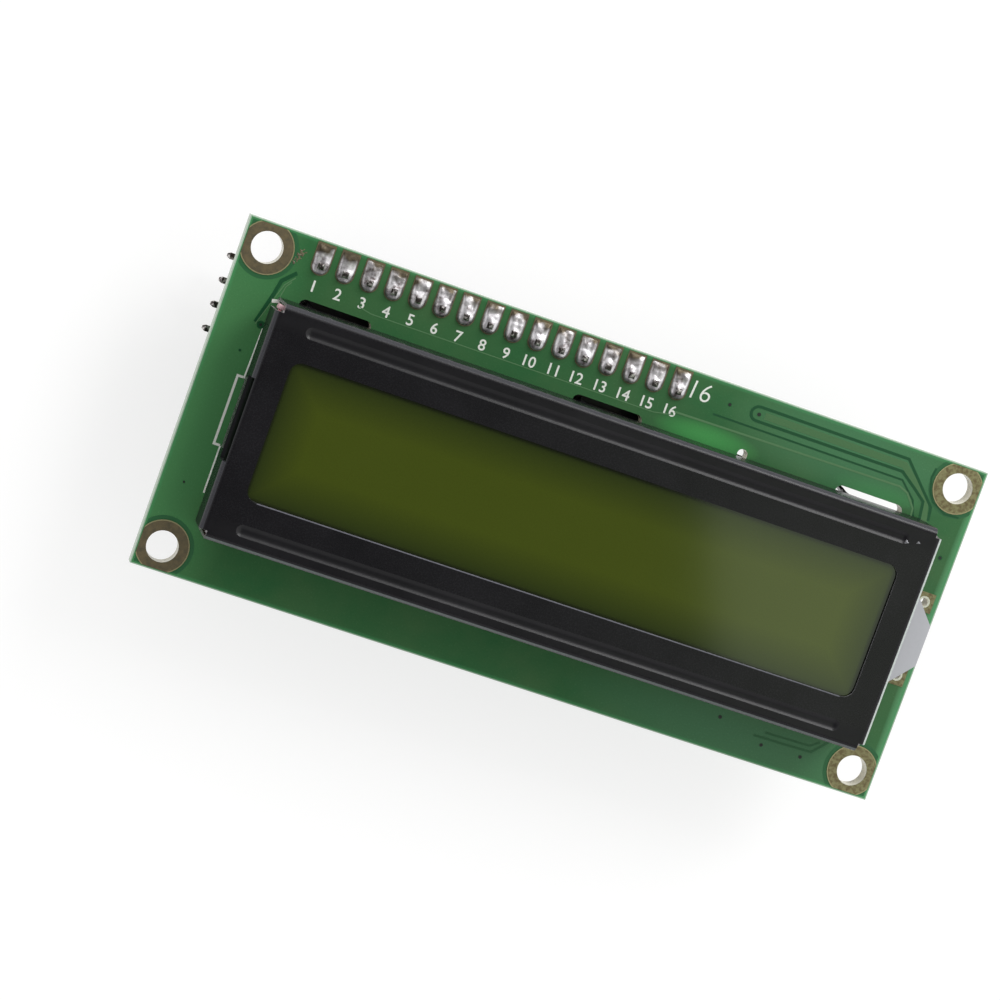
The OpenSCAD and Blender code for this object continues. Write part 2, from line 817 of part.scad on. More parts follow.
module chip_ends(z) {
    for (turn = [0, 180]) {
        rotate([0, 0, turn]) {
            translate([chip_l / 2 - chip_cap, chip_w / 2, z]) rotate([90, 0, 0]) linear_extrude(chip_w) {
                polygon([
                    [0, 0], [chip_cap + chip_fillet, 0], [chip_cap + chip_fillet, -chip_h / 6],
                    [chip_cap, -chip_h], [0, -chip_h]
                ]);
            }
        }
    }
}

module at_board_resistors() {
    for (i = [0 : column_n - 1]) {
        translate([column_x, column_y + i * column_dy, 0]) children();
    }
    translate([lone_x, lone_y, 0]) children();
}

module board_resistors() {
    color([0.12, 0.12, 0.12]) at_board_resistors() chip_body(back_z);
}

module board_resistor_ends() {
    color("silver") at_board_resistors() chip_ends(back_z);
}

// Pin header between the boards

// Profile of a straight pin in one side view, tapered at both ends
module pin_profile(z0, z1) {
    half = pin_s / 2;
    polygon([
        [-half, z0 + pin_tip], [-half / 2, z0], [half / 2, z0], [half, z0 + pin_tip],
        [half, z1 - pin_tip], [half / 2, z1], [-half / 2, z1], [-half, z1 - pin_tip]
    ]);
}

module straight_pin(z0, z1) {
    intersection() {
        translate([0, pin_s, 0]) rotate([90, 0, 0]) linear_extrude(2 * pin_s) pin_profile(z0, z1);
        rotate([0, 0, 90]) translate([0, pin_s, 0]) rotate([90, 0, 0]) linear_extrude(2 * pin_s) pin_profile(z0, z1);
    }
}

module header_pins() {
    color("silver") at_header_pins() straight_pin(adapter_back_z - pin_rear, pin_front);
}

// Outline of one segment of a plastic strip, with notched corners
module segment_2d() {
    half = pitch / 2;
    side = base_w / 2;
    polygon([
        [-half, -side + base_notch], [-half + base_notch, -side], [half - base_notch, -side],
        [half, -side + base_notch], [half, side - base_notch], [half - base_notch, side],
        [-half + base_notch, side], [-half, side - base_notch]
    ]);
}

module header_spacer() {
    color([0.1, 0.1, 0.1])
    translate([0, 0, adapter_front_z]) linear_extrude(spacer_h) {
        difference() {
            at_header_pins() segment_2d();
            at_header_pins() square(pin_s, center = true);
        }
    }
}

// Solder joint that rises from height z along +Z
module solder_joint_up(z, r) {
    translate([0, 0, z]) cylinder(h = solder_foot, r = r);
    translate([0, 0, z + solder_foot - eps]) cylinder(h = solder_h - solder_foot + eps, r1 = r, r2 = r / 2);
}

module solder_joint_down(z, r) {
    translate([0, 0, z]) mirror([0, 0, 1]) solder_joint_up(0, r);
}

module front_solder() {
    color("silver")
    difference() {
        at_header_pins() {
            solder_joint_up(land_t, solder_r);
            translate([0, 0, land_t]) linear_extrude(solder_foot) pin_land_2d(2 * solder_r);
        }
        at_header_pins() slab(pin_s, pin_s, -past, solder_h + past);
    }
}

module rear_solder() {
    color("silver")
    difference() {
        at_header_pins() solder_joint_down(adapter_back_z, solder_r);
        at_header_pins() slab(pin_s, pin_s, adapter_back_z - solder_h - past, adapter_back_z + past);
    }
}

// Adapter board

module adapter_board() {
    color([0.14, 0.13, 0.15])
    difference() {
        translate([adapter_x, adapter_y, adapter_back_z]) cube([adapter_l, adapter_w, adapter_t]);
        translate([0, 0, adapter_back_z - past]) {
            at_header_pins() cylinder(h = adapter_t + 2 * past, d = pin_hole_d);
            at_bus_pins() cylinder(h = adapter_t + 2 * past, d = pin_hole_d);
            at_jumper_pins() cylinder(h = adapter_t + 2 * past, d = pin_hole_d);
            at_trimmer_pins() cylinder(h = adapter_t + 2 * past, d = pin_hole_d);
        }
    }
}

// Joints of the small headers and the trimmer on the inner face of the adapter board
module inner_solder() {
    color("silver")
    difference() {
        union() {
            at_bus_pins() tail_joint();
            at_jumper_pins() tail_joint();
            at_trimmer_pins() tail_joint();
        }
        translate([0, 0, adapter_front_z - past]) {
            at_bus_pins() slab(pin_s, pin_s, 0, 2 * past);
            at_jumper_pins() slab(pin_s, pin_s, 0, 2 * past);
            at_trimmer_pins() slab(pin_s, pin_s, 0, 2 * past);
        }
    }
}

module tail_joint() {
    climb = 0.8;
    taper = 0.7;
    translate([0, 0, adapter_front_z]) cylinder(h = climb * tail_h, r1 = tail_r, r2 = taper * tail_r);
}

// Expander chip

// Body with sides that slope from a middle line, turned down onto the back of the board
module soic_profile(w) {
    slope = 0.25;
    rim = 0.12;
    half = w / 2;
    low = soic_h / 2 - rim;
    high = soic_h / 2 + rim;
    polygon([
        [-half + slope, 0], [half - slope, 0], [half, low], [half, high],
        [half - slope, soic_h], [-half + slope, soic_h], [-half, high], [-half, low]
    ]);
}

module expander_body() {
    mark_r = 0.6;
    mark_in = 1.3;
    color([0.15, 0.15, 0.15])
    translate([soic_x, soic_y, adapter_back_z - soic_lift - soic_h]) {
        difference() {
            intersection() {
                translate([0, soic_l / 2, 0]) rotate([90, 0, 0]) linear_extrude(soic_l) soic_profile(soic_w);
                rotate([0, 0, 90]) translate([0, soic_w / 2, 0]) rotate([90, 0, 0]) {
                    linear_extrude(soic_w) soic_profile(soic_l);
                }
            }
            translate([-soic_w / 2 + mark_in, soic_l / 2 - mark_in, -past]) cylinder(h = past + land_t, r = mark_r);
        }
    }
}

// Gull-wing lead on the +X side: out of the body, down to the board and flat
module soic_lead() {
    x0 = soic_w / 2;
    x1 = soic_span / 2;
    foot = 0.75;
    knee = (x1 - foot - x0) / 2;
    rise = soic_lift + soic_h / 2;
    t = soic_lead_t;
    translate([0, soic_lead_w / 2, adapter_back_z]) rotate([90, 0, 0]) linear_extrude(soic_lead_w) {
        polygon([
            [x0, -rise - t / 2], [x0 + knee, -rise - t / 2], [x1 - foot, -t], [x1, -t], [x1, 0],
            [x1 - foot - t / 2, 0], [x0 + knee - t / 2, -rise + t / 2], [x0, -rise + t / 2]
        ]);
    }
}

module expander_leads() {
    color("silver")
    translate([soic_x, soic_y, 0]) {
        for (turn = [0, 180]) {
            rotate([0, 0, turn]) {
                for (i = [0 : soic_n - 1]) {
                    translate([0, (i - (soic_n - 1) / 2) * soic_pitch, 0]) soic_lead();
                }
            }
        }
    }
}

// Contrast trimmer

// Outline with a chamfer at the two corners beside the chip
module trimmer_2d() {
    half = trim_s / 2;
    polygon([
        [-half, -half], [half - trim_chamfer, -half], [half, -half + trim_chamfer],
        [half, half - trim_chamfer], [half - trim_chamfer, half], [-half, half]
    ]);
}

// Sun-shaped line: a ring with square rays, drawn as an outer shape less a smaller one
module sun_2d(r, tip_r, ray_w) {
    circle(r);
    for (i = [0 : dial_n - 1]) {
        rotate([0, 0, i * 360 / dial_n]) translate([0, -ray_w / 2]) square([tip_r, ray_w]);
    }
}

module dial_2d() {
    ray_w = 0.36;
    difference() {
        sun_2d(dial_r, dial_tip_r, ray_w);
        sun_2d(dial_r - dial_line, dial_tip_r - dial_line, ray_w - 2 * dial_line);
    }
}

module trimmer_body() {
    vent_r = 0.32;
    vent_in = 0.95;
    bore_h = rotor_sink + rotor_h + rotor_gap;
    color("royalblue")
    translate([trim_x, trim_y, trim_top_z]) {
        difference() {
            linear_extrude(trim_h) trimmer_2d();
            translate([0, 0, -eps]) cylinder(h = bore_h + eps, d = rotor_d + 2 * rotor_gap);
            translate([trim_s / 2 - vent_in, -trim_s / 2 + vent_in, -eps]) cylinder(h = past, r = vent_r);
            translate([0, 0, -eps]) linear_extrude(dial_depth + eps) dial_2d();
            translate([0, 0, trim_h - past]) {
                for (p = trim_pin_sites) {
                    translate([p[0], p[1], 0]) slab(pin_s, pin_s, 0, 2 * past);
                }
            }
        }
    }
}

module trimmer_rotor() {
    cross_l = rotor_d - 0.3;
    color([0.55, 0.5, 0.45])
    translate([trim_x, trim_y, trim_top_z + rotor_sink]) {
        difference() {
            cylinder(h = rotor_h, d = rotor_d);
            for (turn = [0, 90]) {
                rotate([0, 0, 45 + turn]) slab(cross_l, cross_w, -eps, cross_h);
            }
        }
    }
}

module trimmer_pins() {
    color("silver")
    at_trimmer_pins() slab(pin_s, pin_s, adapter_back_z - past, adapter_front_z + tail_h);
}

// Small headers with bent pins

module header_base(n) {
    rotate([0, 0, 90]) {
        difference() {
            for (i = [0 : n - 1]) {
                translate([row_place(i, n), 0]) segment_2d();
            }
            for (i = [0 : n - 1]) {
                translate([row_place(i, n), 0]) square(pin_s, center = true);
            }
        }
    }
}

// Pin that stands through the board and its base, then turns along +X
module bent_pin(run) {
    mid_r = bend_r + pin_s / 2;
    slab(pin_s, pin_s, run_z + mid_r, adapter_front_z + tail_h);
    translate([mid_r, 0, run_z + mid_r]) rotate([90, 0, 0]) rotate([0, 0, 180]) {
        rotate_extrude(angle = 90) translate([bend_r, -pin_s / 2]) square(pin_s);
    }
    translate([mid_r, 0, run_z]) {
        translate([0, -pin_s / 2, -pin_s / 2]) cube([run - mid_r - pin_tip, pin_s, pin_s]);
        translate([run - mid_r - pin_tip - eps, 0, 0]) intersection() {
            translate([0, pin_s, 0]) rotate([90, 0, 0]) linear_extrude(2 * pin_s) tip_2d();
            translate([0, 0, -pin_s]) linear_extrude(2 * pin_s) tip_2d();
        }
    }
}

module tip_2d() {
    half = pin_s / 2;
    polygon([[0, -half], [pin_tip + eps, -half / 2], [pin_tip + eps, half / 2], [0, half]]);
}

module bus_header_base() {
    color([0.1, 0.1, 0.1])
    translate([bus_x, bus_y, base_top_z]) linear_extrude(base_h) header_base(bus_n);
}

module bus_header_pins() {
    color("silver") at_bus_pins() mirror([1, 0, 0]) bent_pin(bus_run);
}

module jumper_base() {
    color([0.1, 0.1, 0.1])
    translate([jumper_x, adapter_mid_y, base_top_z]) linear_extrude(base_h) header_base(jumper_n);
}

module jumper_pins() {
    color("silver") at_jumper_pins() bent_pin(jumper_run);
}

module jumper_cap() {
    chamfer = 0.3;
    slit_w = 0.8;
    color([0.1, 0.12, 0.3])
    translate([cap_x, adapter_mid_y, run_z]) {
        difference() {
            translate([0, cap_w / 2, 0]) rotate([90, 0, 0]) linear_extrude(cap_w) {
                polygon([
                    [0, -cap_t / 2], [cap_l - chamfer, -cap_t / 2], [cap_l, -cap_t / 2 + chamfer],
                    [cap_l, cap_t / 2 - chamfer], [cap_l - chamfer, cap_t / 2], [0, cap_t / 2]
                ]);
            }
            translate([-eps, -pocket_y, -pocket_z]) cube([pocket_d + eps, 2 * pocket_y, 2 * pocket_z]);
            translate([cap_l - past, -slit_w / 2, -pocket_z]) cube([2 * past, slit_w, 2 * pocket_z]);
        }
    }
}

// Spring clip: a pair of leaves over and under each pin, joined by a bridge at the end of the pocket
module jumper_clip() {
    mouth = 0.4;
    leaf_l = pocket_d - mouth;
    color("goldenrod")
    translate([cap_x + pocket_d, adapter_mid_y, run_z]) {
        translate([-clip_t, -pocket_y + clip_gap, -pocket_z]) cube([clip_t, 2 * (pocket_y - clip_gap), 2 * pocket_z]);
        for (sy = [-1, 1]) {
            for (z0 = [-pocket_z, leaf_z]) {
                translate([-leaf_l, sy * pitch / 2 - leaf_w / 2, z0]) cube([leaf_l, leaf_w, clip_t]);
            }
        }
    }
}

// Small parts on the adapter board

module at_adapter_resistors() {
    for (p = resistor_sites) {
        translate([adapter_right_x - p[0], adapter_mid_y + p[1], 0]) rotate([0, 0, p[2]]) children();
    }
}

module at_adapter_capacitor() {
    p = capacitor_site;
    translate([adapter_right_x - p[0], adapter_mid_y + p[1], 0]) rotate([0, 0, p[2]]) children();
}

module adapter_resistors() {
    color([0.12, 0.12, 0.12]) at_adapter_resistors() chip_body(adapter_back_z);
}

module adapter_capacitor() {
    color("peru") at_adapter_capacitor() chip_body(adapter_back_z);
}

module adapter_chip_ends() {
    color("silver") {
        at_adapter_resistors() chip_ends(adapter_back_z);
        at_adapter_capacitor() chip_ends(adapter_back_z);
        translate([adapter_right_x - led_site[0], adapter_mid_y + led_site[1], 0]) chip_ends(adapter_back_z);
    }
}

module power_led_body() {
    color("white")
    translate([adapter_right_x - led_site[0], adapter_mid_y + led_site[1], adapter_back_z - led_body_h]) {
        slab(chip_l - 2 * chip_cap, chip_w, 0, led_body_h);
    }
}

module power_led_lens() {
    lens_h = 0.45;
    color("red")
    translate([adapter_right_x - led_site[0], adapter_mid_y + led_site[1], adapter_back_z - led_body_h - lens_h]) {
        slab(chip_l - 2 * chip_cap, chip_w, 0, lens_h);
    }
}

// Three-lead transistor

module transistor_body() {
    color([0.13, 0.13, 0.13])
    translate([adapter_right_x - sot_site[0], adapter_mid_y + sot_site[1], adapter_back_z - sot_lift - sot_h]) {
        slab(sot_l, sot_w, 0, sot_h);
    }
}

module sot_lead() {
    lead_w = 0.4;
    reach = 0.6;
    t = 0.12;
    y0 = sot_w / 2;
    rise = sot_lift + sot_h / 2;
    rotate([0, 0, 90]) translate([0, lead_w / 2, 0]) rotate([90, 0, 0]) linear_extrude(lead_w) {
        polygon([
            [y0, -rise], [y0 + reach / 3, -rise], [y0 + reach / 2, -t], [y0 + reach, -t], [y0 + reach, 0],
            [y0 + reach / 3, 0], [y0 + reach / 6, -rise + t], [y0, -rise + t]
        ]);
    }
}

module transistor_leads() {
    lead_dx = 0.95;
    color("silver")
    translate([adapter_right_x - sot_site[0], adapter_mid_y + sot_site[1], adapter_back_z]) {
        sot_lead();
        rotate([0, 0, 180]) {
            translate([-lead_dx, 0, 0]) sot_lead();
            translate([lead_dx, 0, 0]) sot_lead();
        }
    }
}

main_board();
mounting_lands();
tab_lands();
header_lands();
backlight_lands();
bezel();
front_polarizer();
front_glass();
rear_glass();
rear_polarizer();
upper_zebra_strip();
lower_zebra_strip();
diffuser();
light_guide();
reflector();
backlight_case();
backlight_leds();
backlight_leads();
backlight_solder();
controller_domes();
board_resistors();
board_resistor_ends();
header_pins();
header_spacer();
front_solder();
rear_solder();
adapter_board();
expander_body();
expander_leads();
trimmer_body();
trimmer_rotor();
trimmer_pins();
bus_header_base();
bus_header_pins();
jumper_base();
jumper_pins();
jumper_cap();
jumper_clip();
power_led_body();
power_led_lens();
transistor_body();
transistor_leads();
adapter_resistors();
adapter_capacitor();
adapter_chip_ends();
inner_solder();
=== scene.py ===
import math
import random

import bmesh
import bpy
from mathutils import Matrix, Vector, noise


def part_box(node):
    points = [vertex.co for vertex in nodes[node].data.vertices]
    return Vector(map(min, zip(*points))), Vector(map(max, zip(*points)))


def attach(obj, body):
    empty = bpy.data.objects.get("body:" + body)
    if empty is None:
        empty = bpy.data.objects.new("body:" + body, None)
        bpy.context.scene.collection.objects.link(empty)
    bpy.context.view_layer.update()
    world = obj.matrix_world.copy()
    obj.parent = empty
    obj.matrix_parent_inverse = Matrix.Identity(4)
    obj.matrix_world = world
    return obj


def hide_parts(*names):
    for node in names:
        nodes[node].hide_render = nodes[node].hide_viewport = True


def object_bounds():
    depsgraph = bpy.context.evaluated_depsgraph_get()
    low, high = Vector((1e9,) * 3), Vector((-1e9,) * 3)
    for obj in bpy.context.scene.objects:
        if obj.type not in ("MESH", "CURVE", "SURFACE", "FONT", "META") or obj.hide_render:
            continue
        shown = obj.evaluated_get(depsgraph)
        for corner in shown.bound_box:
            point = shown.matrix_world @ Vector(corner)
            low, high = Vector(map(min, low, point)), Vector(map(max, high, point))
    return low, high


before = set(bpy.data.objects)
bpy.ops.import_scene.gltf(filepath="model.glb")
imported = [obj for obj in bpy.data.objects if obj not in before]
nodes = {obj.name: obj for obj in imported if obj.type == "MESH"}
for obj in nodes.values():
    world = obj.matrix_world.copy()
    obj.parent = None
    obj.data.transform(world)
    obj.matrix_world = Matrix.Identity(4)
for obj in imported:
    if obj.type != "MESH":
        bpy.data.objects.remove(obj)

# %% [markdown]
# # A character display with a serial adapter board behind it
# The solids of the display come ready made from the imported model, each as a node of its own.
# This script gives every one of them its finish, adds the thin things that solids leave out, such as
# printed ink, copper tracks and lumpy solder, and sets up a plain studio.
# Lengths are metres, and MM is one millimetre. The tables of thin shapes are in millimetres, so that they
# read as on a drawing.

MM = 0.001
cad_box = [list(corner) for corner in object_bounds()]
print("nodes:", len(nodes), "box in mm:", [[round(v / MM, 2) for v in corner] for corner in cad_box])

# %% [markdown]
# ## Heights of the faces
# Ink and copper lie on the faces of the two boards. The heights of those faces are read from the packed
# model instead of being typed, so that the thin pieces stay on the boards if the model changes.

# %% Faces and edges of the two boards
BOARD_LOW, BOARD_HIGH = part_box("main_board")
ADAPTER_LOW, ADAPTER_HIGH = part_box("adapter_board")
FRONT_Z = BOARD_HIGH[2]
BACK_Z = BOARD_LOW[2]
ADAPTER_BACK_Z = ADAPTER_LOW[2]
ROW_Y = 15.5
PITCH = 2.54
PIN_X = [-32 + PITCH * i for i in range(16)]
print("front face at", round(FRONT_Z / MM, 2), "mm, back at", round(BACK_Z / MM, 2),
      "mm, adapter's back at", round(ADAPTER_BACK_Z / MM, 2), "mm")

# %% [markdown]
# ## Colours
# A colour picked from a screen is written with numbers from 0 to 255 and is not linear. The shader wants
# linear light, so one small helper turns the first into the second.

# %% Colour helper
def colour(red, green, blue):
    """Linear colour of a screen colour from 0 to 255."""
    def linear(part):
        part = part / 255
        return part / 12.92 if part <= 0.04045 else ((part + 0.055) / 1.055) ** 2.4
    return (linear(red), linear(green), linear(blue), 1.0)


# %% [markdown]
# ## Shared effects
# Real finishes are never one flat colour. Five effects come back in the materials here: a fine grain,
# soft stains, the pale edge where a board is cut or drilled, a band along an edge and a soft oval spot.
# Each is a node group, built once, and every material then sets its own values on it.

# %% Helpers for nodes
def give(tree, node, values):
    """Gives inputs of a node their numbers or colours, or links from other sockets. Returns the node."""
    for label, value in values.items():
        if isinstance(value, bpy.types.NodeSocket):
            tree.links.new(value, node.inputs[label])
        else:
            node.inputs[label].default_value = value
    return node


def new_node(tree, kind, values):
    """New shader node with its inputs given."""
    return give(tree, tree.nodes.new("ShaderNode" + kind), values)


def math_node(tree, operation, *values, clamp=False):
    """Math node whose inputs are numbers or sockets. Returns its output."""
    node = new_node(tree, "Math", dict(enumerate(values)))
    node.operation = operation
    node.use_clamp = clamp
    return node.outputs[0]


def mix_node(tree, mask, first, second):
    """Colour mix from first to second as the mask rises. Returns its output."""
    node = tree.nodes.new("ShaderNodeMix")
    node.data_type = "RGBA"
    return give(tree, node, {0: mask, 6: first, 7: second}).outputs[2]


def object_place(tree):
    """Object coordinates of the surface."""
    return tree.nodes.new("ShaderNodeTexCoord").outputs["Object"]


def axes(tree):
    """Object coordinates taken apart into outputs called X, Y and Z."""
    return new_node(tree, "SeparateXYZ", {0: object_place(tree)}).outputs


def noise_node(tree, scale, detail, roughness):
    """Noise on the object's coordinates, at so many lumps to the metre. Returns its output."""
    values = {"Vector": object_place(tree), "Scale": scale, "Detail": detail, "Roughness": roughness}
    return new_node(tree, "TexNoise", values).outputs["Fac"]


def where(tree, *tests):
    """Mask that is 1 where all tests hold. A test is a mask, or a socket, a sign and a limit."""
    signs = {"<": "LESS_THAN", ">": "GREATER_THAN"}
    masks = [math_node(tree, signs[test[1]], test[0], test[2]) if isinstance(test, tuple) else test for test in tests]
    product = masks[0]
    for mask in masks[1:]:
        product = math_node(tree, "MULTIPLY", product, mask)
    return product


def new_group(name, colours, numbers, height=False):
    """Empty shader node group with the inputs named. Returns its tree, its given values and its output node."""
    tree = bpy.data.node_groups.new(name, "ShaderNodeTree")
    add_socket = tree.interface.new_socket
    for labels, kind in ((colours, "NodeSocketColor"), (numbers, "NodeSocketFloat")):
        for label in labels:
            add_socket(label, in_out="INPUT", socket_type=kind)
    add_socket("Colour", in_out="OUTPUT", socket_type="NodeSocketColor")
    if height:
        add_socket("Height", in_out="OUTPUT", socket_type="NodeSocketFloat")
    return tree, tree.nodes.new("NodeGroupInput").outputs, tree.nodes.new("NodeGroupOutput")


# %% Group for fine grain
def build_grain():
    tree, given, out = new_group("fine_grain", ["Colour"], ["Fineness", "Contrast"], height=True)
    grain = noise_node(tree, given["Fineness"], 4.0, 0.65)
    swing = math_node(tree, "MULTIPLY", math_node(tree, "SUBTRACT", grain, 0.5), given["Contrast"])
    shade = new_node(tree, "HueSaturation", {"Value": math_node(tree, "ADD", swing, 1.0), "Color": given["Colour"]})
    give(tree, out, {"Colour": shade.outputs["Color"], "Height": grain})
    return tree


# %% Group for soft stains
def build_stains():
    tree, given, out = new_group("soft_stains", ["Clean", "Stained"], ["Size", "Spread", "Sharpness"])
    above = math_node(tree, "SUBTRACT", noise_node(tree, given["Size"], 5.0, 0.6), given["Spread"])
    mask = math_node(tree, "ADD", math_node(tree, "MULTIPLY", above, given["Sharpness"]), 0.5, clamp=True)
    give(tree, out, {"Colour": mix_node(tree, mask, given["Clean"], given["Stained"])})
    return tree


# %% Group for the cut sides and drilled walls of a board
SKIN = 0.04 * MM


def build_cut_sides():
    limits = [end + " " + axis for axis in "XYZ" for end in ("Low", "High")]
    tree, given, out = new_group("cut_sides", ["Face", "Side", "Wall"], limits)
    place = axes(tree)

    def between(axis):
        return where(tree, (place[axis], ">", math_node(tree, "ADD", given["Low " + axis], SKIN)),
                     (place[axis], "<", math_node(tree, "SUBTRACT", given["High " + axis], SKIN)))

    core = between("Z")
    inside = where(tree, between("X"), between("Y"))
    sides = where(tree, core, math_node(tree, "SUBTRACT", 1.0, inside))
    with_sides = mix_node(tree, sides, given["Face"], given["Side"])
    give(tree, out, {"Colour": mix_node(tree, where(tree, core, inside), with_sides, given["Wall"])})
    return tree


# %% Groups for a band inside the edges of a rectangle and for a soft oval spot
MIDDLE_AND_HALF = ["Middle X", "Middle Y", "Half X", "Half Y"]


def build_edge_band():
    tree, given, out = new_group("edge_band", ["Face", "Band"], MIDDLE_AND_HALF + ["Width", "Softness"])
    place = axes(tree)

    def distance(axis):
        away = math_node(tree, "ABSOLUTE", math_node(tree, "SUBTRACT", place[axis], given["Middle " + axis]))
        return math_node(tree, "SUBTRACT", given["Half " + axis], away)

    beyond = math_node(tree, "SUBTRACT", given["Width"], math_node(tree, "MINIMUM", distance("X"), distance("Y")))
    mask = math_node(tree, "ADD", math_node(tree, "DIVIDE", beyond, given["Softness"]), 0.5, clamp=True)
    give(tree, out, {"Colour": mix_node(tree, mask, given["Face"], given["Band"])})
    return tree


def build_soft_spot():
    tree, given, out = new_group("soft_spot", ["Face", "Spot"], MIDDLE_AND_HALF)
    place = axes(tree)

    def share(axis):
        away = math_node(tree, "SUBTRACT", place[axis], given["Middle " + axis])
        part = math_node(tree, "DIVIDE", away, given["Half " + axis])
        return math_node(tree, "MULTIPLY", part, part)

    mask = math_node(tree, "SUBTRACT", 1.0, math_node(tree, "ADD", share("X"), share("Y")), clamp=True)
    give(tree, out, {"Colour": mix_node(tree, mask, given["Face"], given["Spot"])})
    return tree


GRAIN, STAINS, CUT_SIDES = build_grain(), build_stains(), build_cut_sides()
EDGE_BAND, SOFT_SPOT = build_edge_band(), build_soft_spot()
print("node groups:", [group.name for group in (GRAIN, STAINS, CUT_SIDES, EDGE_BAND, SOFT_SPOT)])


# %% [markdown]
# ## A helper for finishes
# Every finish below starts the same way: one Principled shader, the grain group in front of its colour,
# and the same grain as a shallow bump. Numbers that are the same all over, such as how metallic a
# surface is, go straight on the shader's own sockets.

# %% Finish helpers
def place_group(tree, group, values):
    """Puts a node group in a material and sets its numbers, colours or links."""
    node = tree.nodes.new("ShaderNodeGroup")
    node.node_tree = group
    return give(tree, node, values)


def new_material(name):
    """Material, its tree and its shader."""
    material = bpy.data.materials.new(name)
    material.use_nodes = True
    return material, material.node_tree, material.node_tree.nodes["Principled BSDF"]


def make_finish(name, roughness, fineness, contrast, base=(0, 0, 0, 1), metallic=0.0, specular=0.5,
                bump=0.1, bump_depth=0.02 * MM, roughness_swing=0.1):
    """Material with grain. Returns it, its tree, its shader and the grain's node, which takes the colour."""
    material, tree, shader = new_material(name)
    grain = place_group(tree, GRAIN, {"Colour": base, "Fineness": fineness, "Contrast": contrast})
    height = grain.outputs["Height"]
    swing = math_node(tree, "MULTIPLY", math_node(tree, "SUBTRACT", height, 0.5), roughness_swing)
    lift = new_node(tree, "Bump", {"Strength": bump, "Distance": bump_depth, "Height": height})
    give(tree, shader, {
        "Metallic": metallic, "Specular IOR Level": specular, "Base Color": grain.outputs["Colour"],
        "Roughness": math_node(tree, "ADD", swing, roughness, clamp=True), "Normal": lift.outputs["Normal"]})
    return material, tree, shader, grain


def plain(name, base, *numbers, **more):
    """Finish of one screen colour. The numbers are its roughness, fineness and contrast."""
    return make_finish(name, *numbers, base=colour(*base), **more)[0]


def make_glass(name, tint, roughness):
    """Clear finish with a tint. Glass has no bump, only a slightly uneven roughness."""
    material, tree, shader = new_material(name)
    grain = place_group(tree, GRAIN, {"Colour": colour(*tint), "Fineness": 900.0, "Contrast": 0.06})
    swing = math_node(tree, "MULTIPLY", grain.outputs["Height"], 0.05)
    give(tree, shader, {
        "Transmission Weight": 1.0, "IOR": 1.5, "Base Color": grain.outputs["Colour"],
        "Roughness": math_node(tree, "ADD", swing, roughness, clamp=True)})
    return material


def stained(tree, clean, dirty, size, spread, sharpness):
    """Colour output of soft stains between two screen colours."""
    return place_group(tree, STAINS, {
        "Clean": colour(*clean), "Stained": colour(*dirty), "Size": size, "Spread": spread,
        "Sharpness": sharpness}).outputs["Colour"]


def banded(tree, face, tone, half, width, softness, middle=(0.0, 0.0)):
    """Colour output of a face with a band inside its edges. Width and softness are in millimetres."""
    return place_group(tree, EDGE_BAND, {
        "Face": face, "Band": colour(*tone), "Middle X": middle[0], "Middle Y": middle[1], "Half X": half[0],
        "Half Y": half[1], "Width": width * MM, "Softness": softness * MM}).outputs["Colour"]


def cut_board(tree, face, side, wall, low, high):
    """Colour output of a board's face with pale sawn sides and drilled walls."""
    values = {"Face": face, "Side": colour(*side), "Wall": colour(*wall)}
    for axis, low_end, high_end in zip("XYZ", low, high):
        values["Low " + axis], values["High " + axis] = low_end, high_end
    return place_group(tree, CUT_SIDES, values).outputs["Colour"]


# %% [markdown]
# ## The green board
# A circuit board is glass fibre with copper and a thin green resist over it. From the front the resist looks deep
# green with slightly lighter and browner zones over copper, and the sawn edge shows the pale fibre. The colour is
# chosen in steps: stains for the copper zones, painted light in soft spots where more light falls or shines through
# the board, a painted glow along the edges and a narrow pale rim at the very edge, then the cut sides, then the
# grain.

# %% Finish of the main board
MIDDLE_Z = (FRONT_Z + BACK_Z) / 2
# Soft spots of painted light, where more light falls or shines through the board.
LIT_PLACES = [
    ((68, 146, 78), 10.6, 12.1, 6.0, 1.5),
    ((62, 138, 76), 29.5, 12.6, 5.0, 1.2),
    ((73, 129, 80), -38.5, -2.0, 8.0, 24.0),
    ((67, 118, 80), 26.0, 15.6, 15.0, 5.0),
    ((67, 115, 80), 25.0, -15.6, 20.0, 4.5),
    ((90, 150, 104), 40.1, -2.0, 1.1, 30.0),
]
# Painted glow of light through the board along its edges, then a narrow pale rim at the very edge.
EDGE_GLOW_AND_RIM = [((70, 144, 92), 0.2, 0.6), ((158, 184, 160), 0.11, 0.05)]


def make_board_green():
    material, tree, shader, grain = make_finish("board_green", 0.26, 5200, 0.26, specular=0.22, bump=0.08)
    give(tree, shader, {"Coat Weight": 0.05, "Coat Roughness": 0.12})
    shown = stained(tree, (47, 99, 58), (64, 104, 64), 110, 0.5, 3)
    for tone, *sizes in LIT_PLACES:
        values = {label: size * MM for label, size in zip(MIDDLE_AND_HALF, sizes)}
        shown = place_group(tree, SOFT_SPOT, {"Face": shown, "Spot": colour(*tone), **values}).outputs["Colour"]
    for tone, width, softness in EDGE_GLOW_AND_RIM:
        shown = banded(tree, shown, tone, BOARD_HIGH, width, softness)
    back = stained(tree, (78, 124, 92), (96, 138, 104), 120, 0.5, 3)
    behind = where(tree, (axes(tree)["Z"], "<", MIDDLE_Z))
    two_faces = mix_node(tree, behind, shown, back)
    cut = cut_board(tree, two_faces, (176, 198, 172), (226, 222, 204), BOARD_LOW, BOARD_HIGH)
    give(tree, grain, {"Colour": cut})
    return material


BOARD_GREEN = make_board_green()


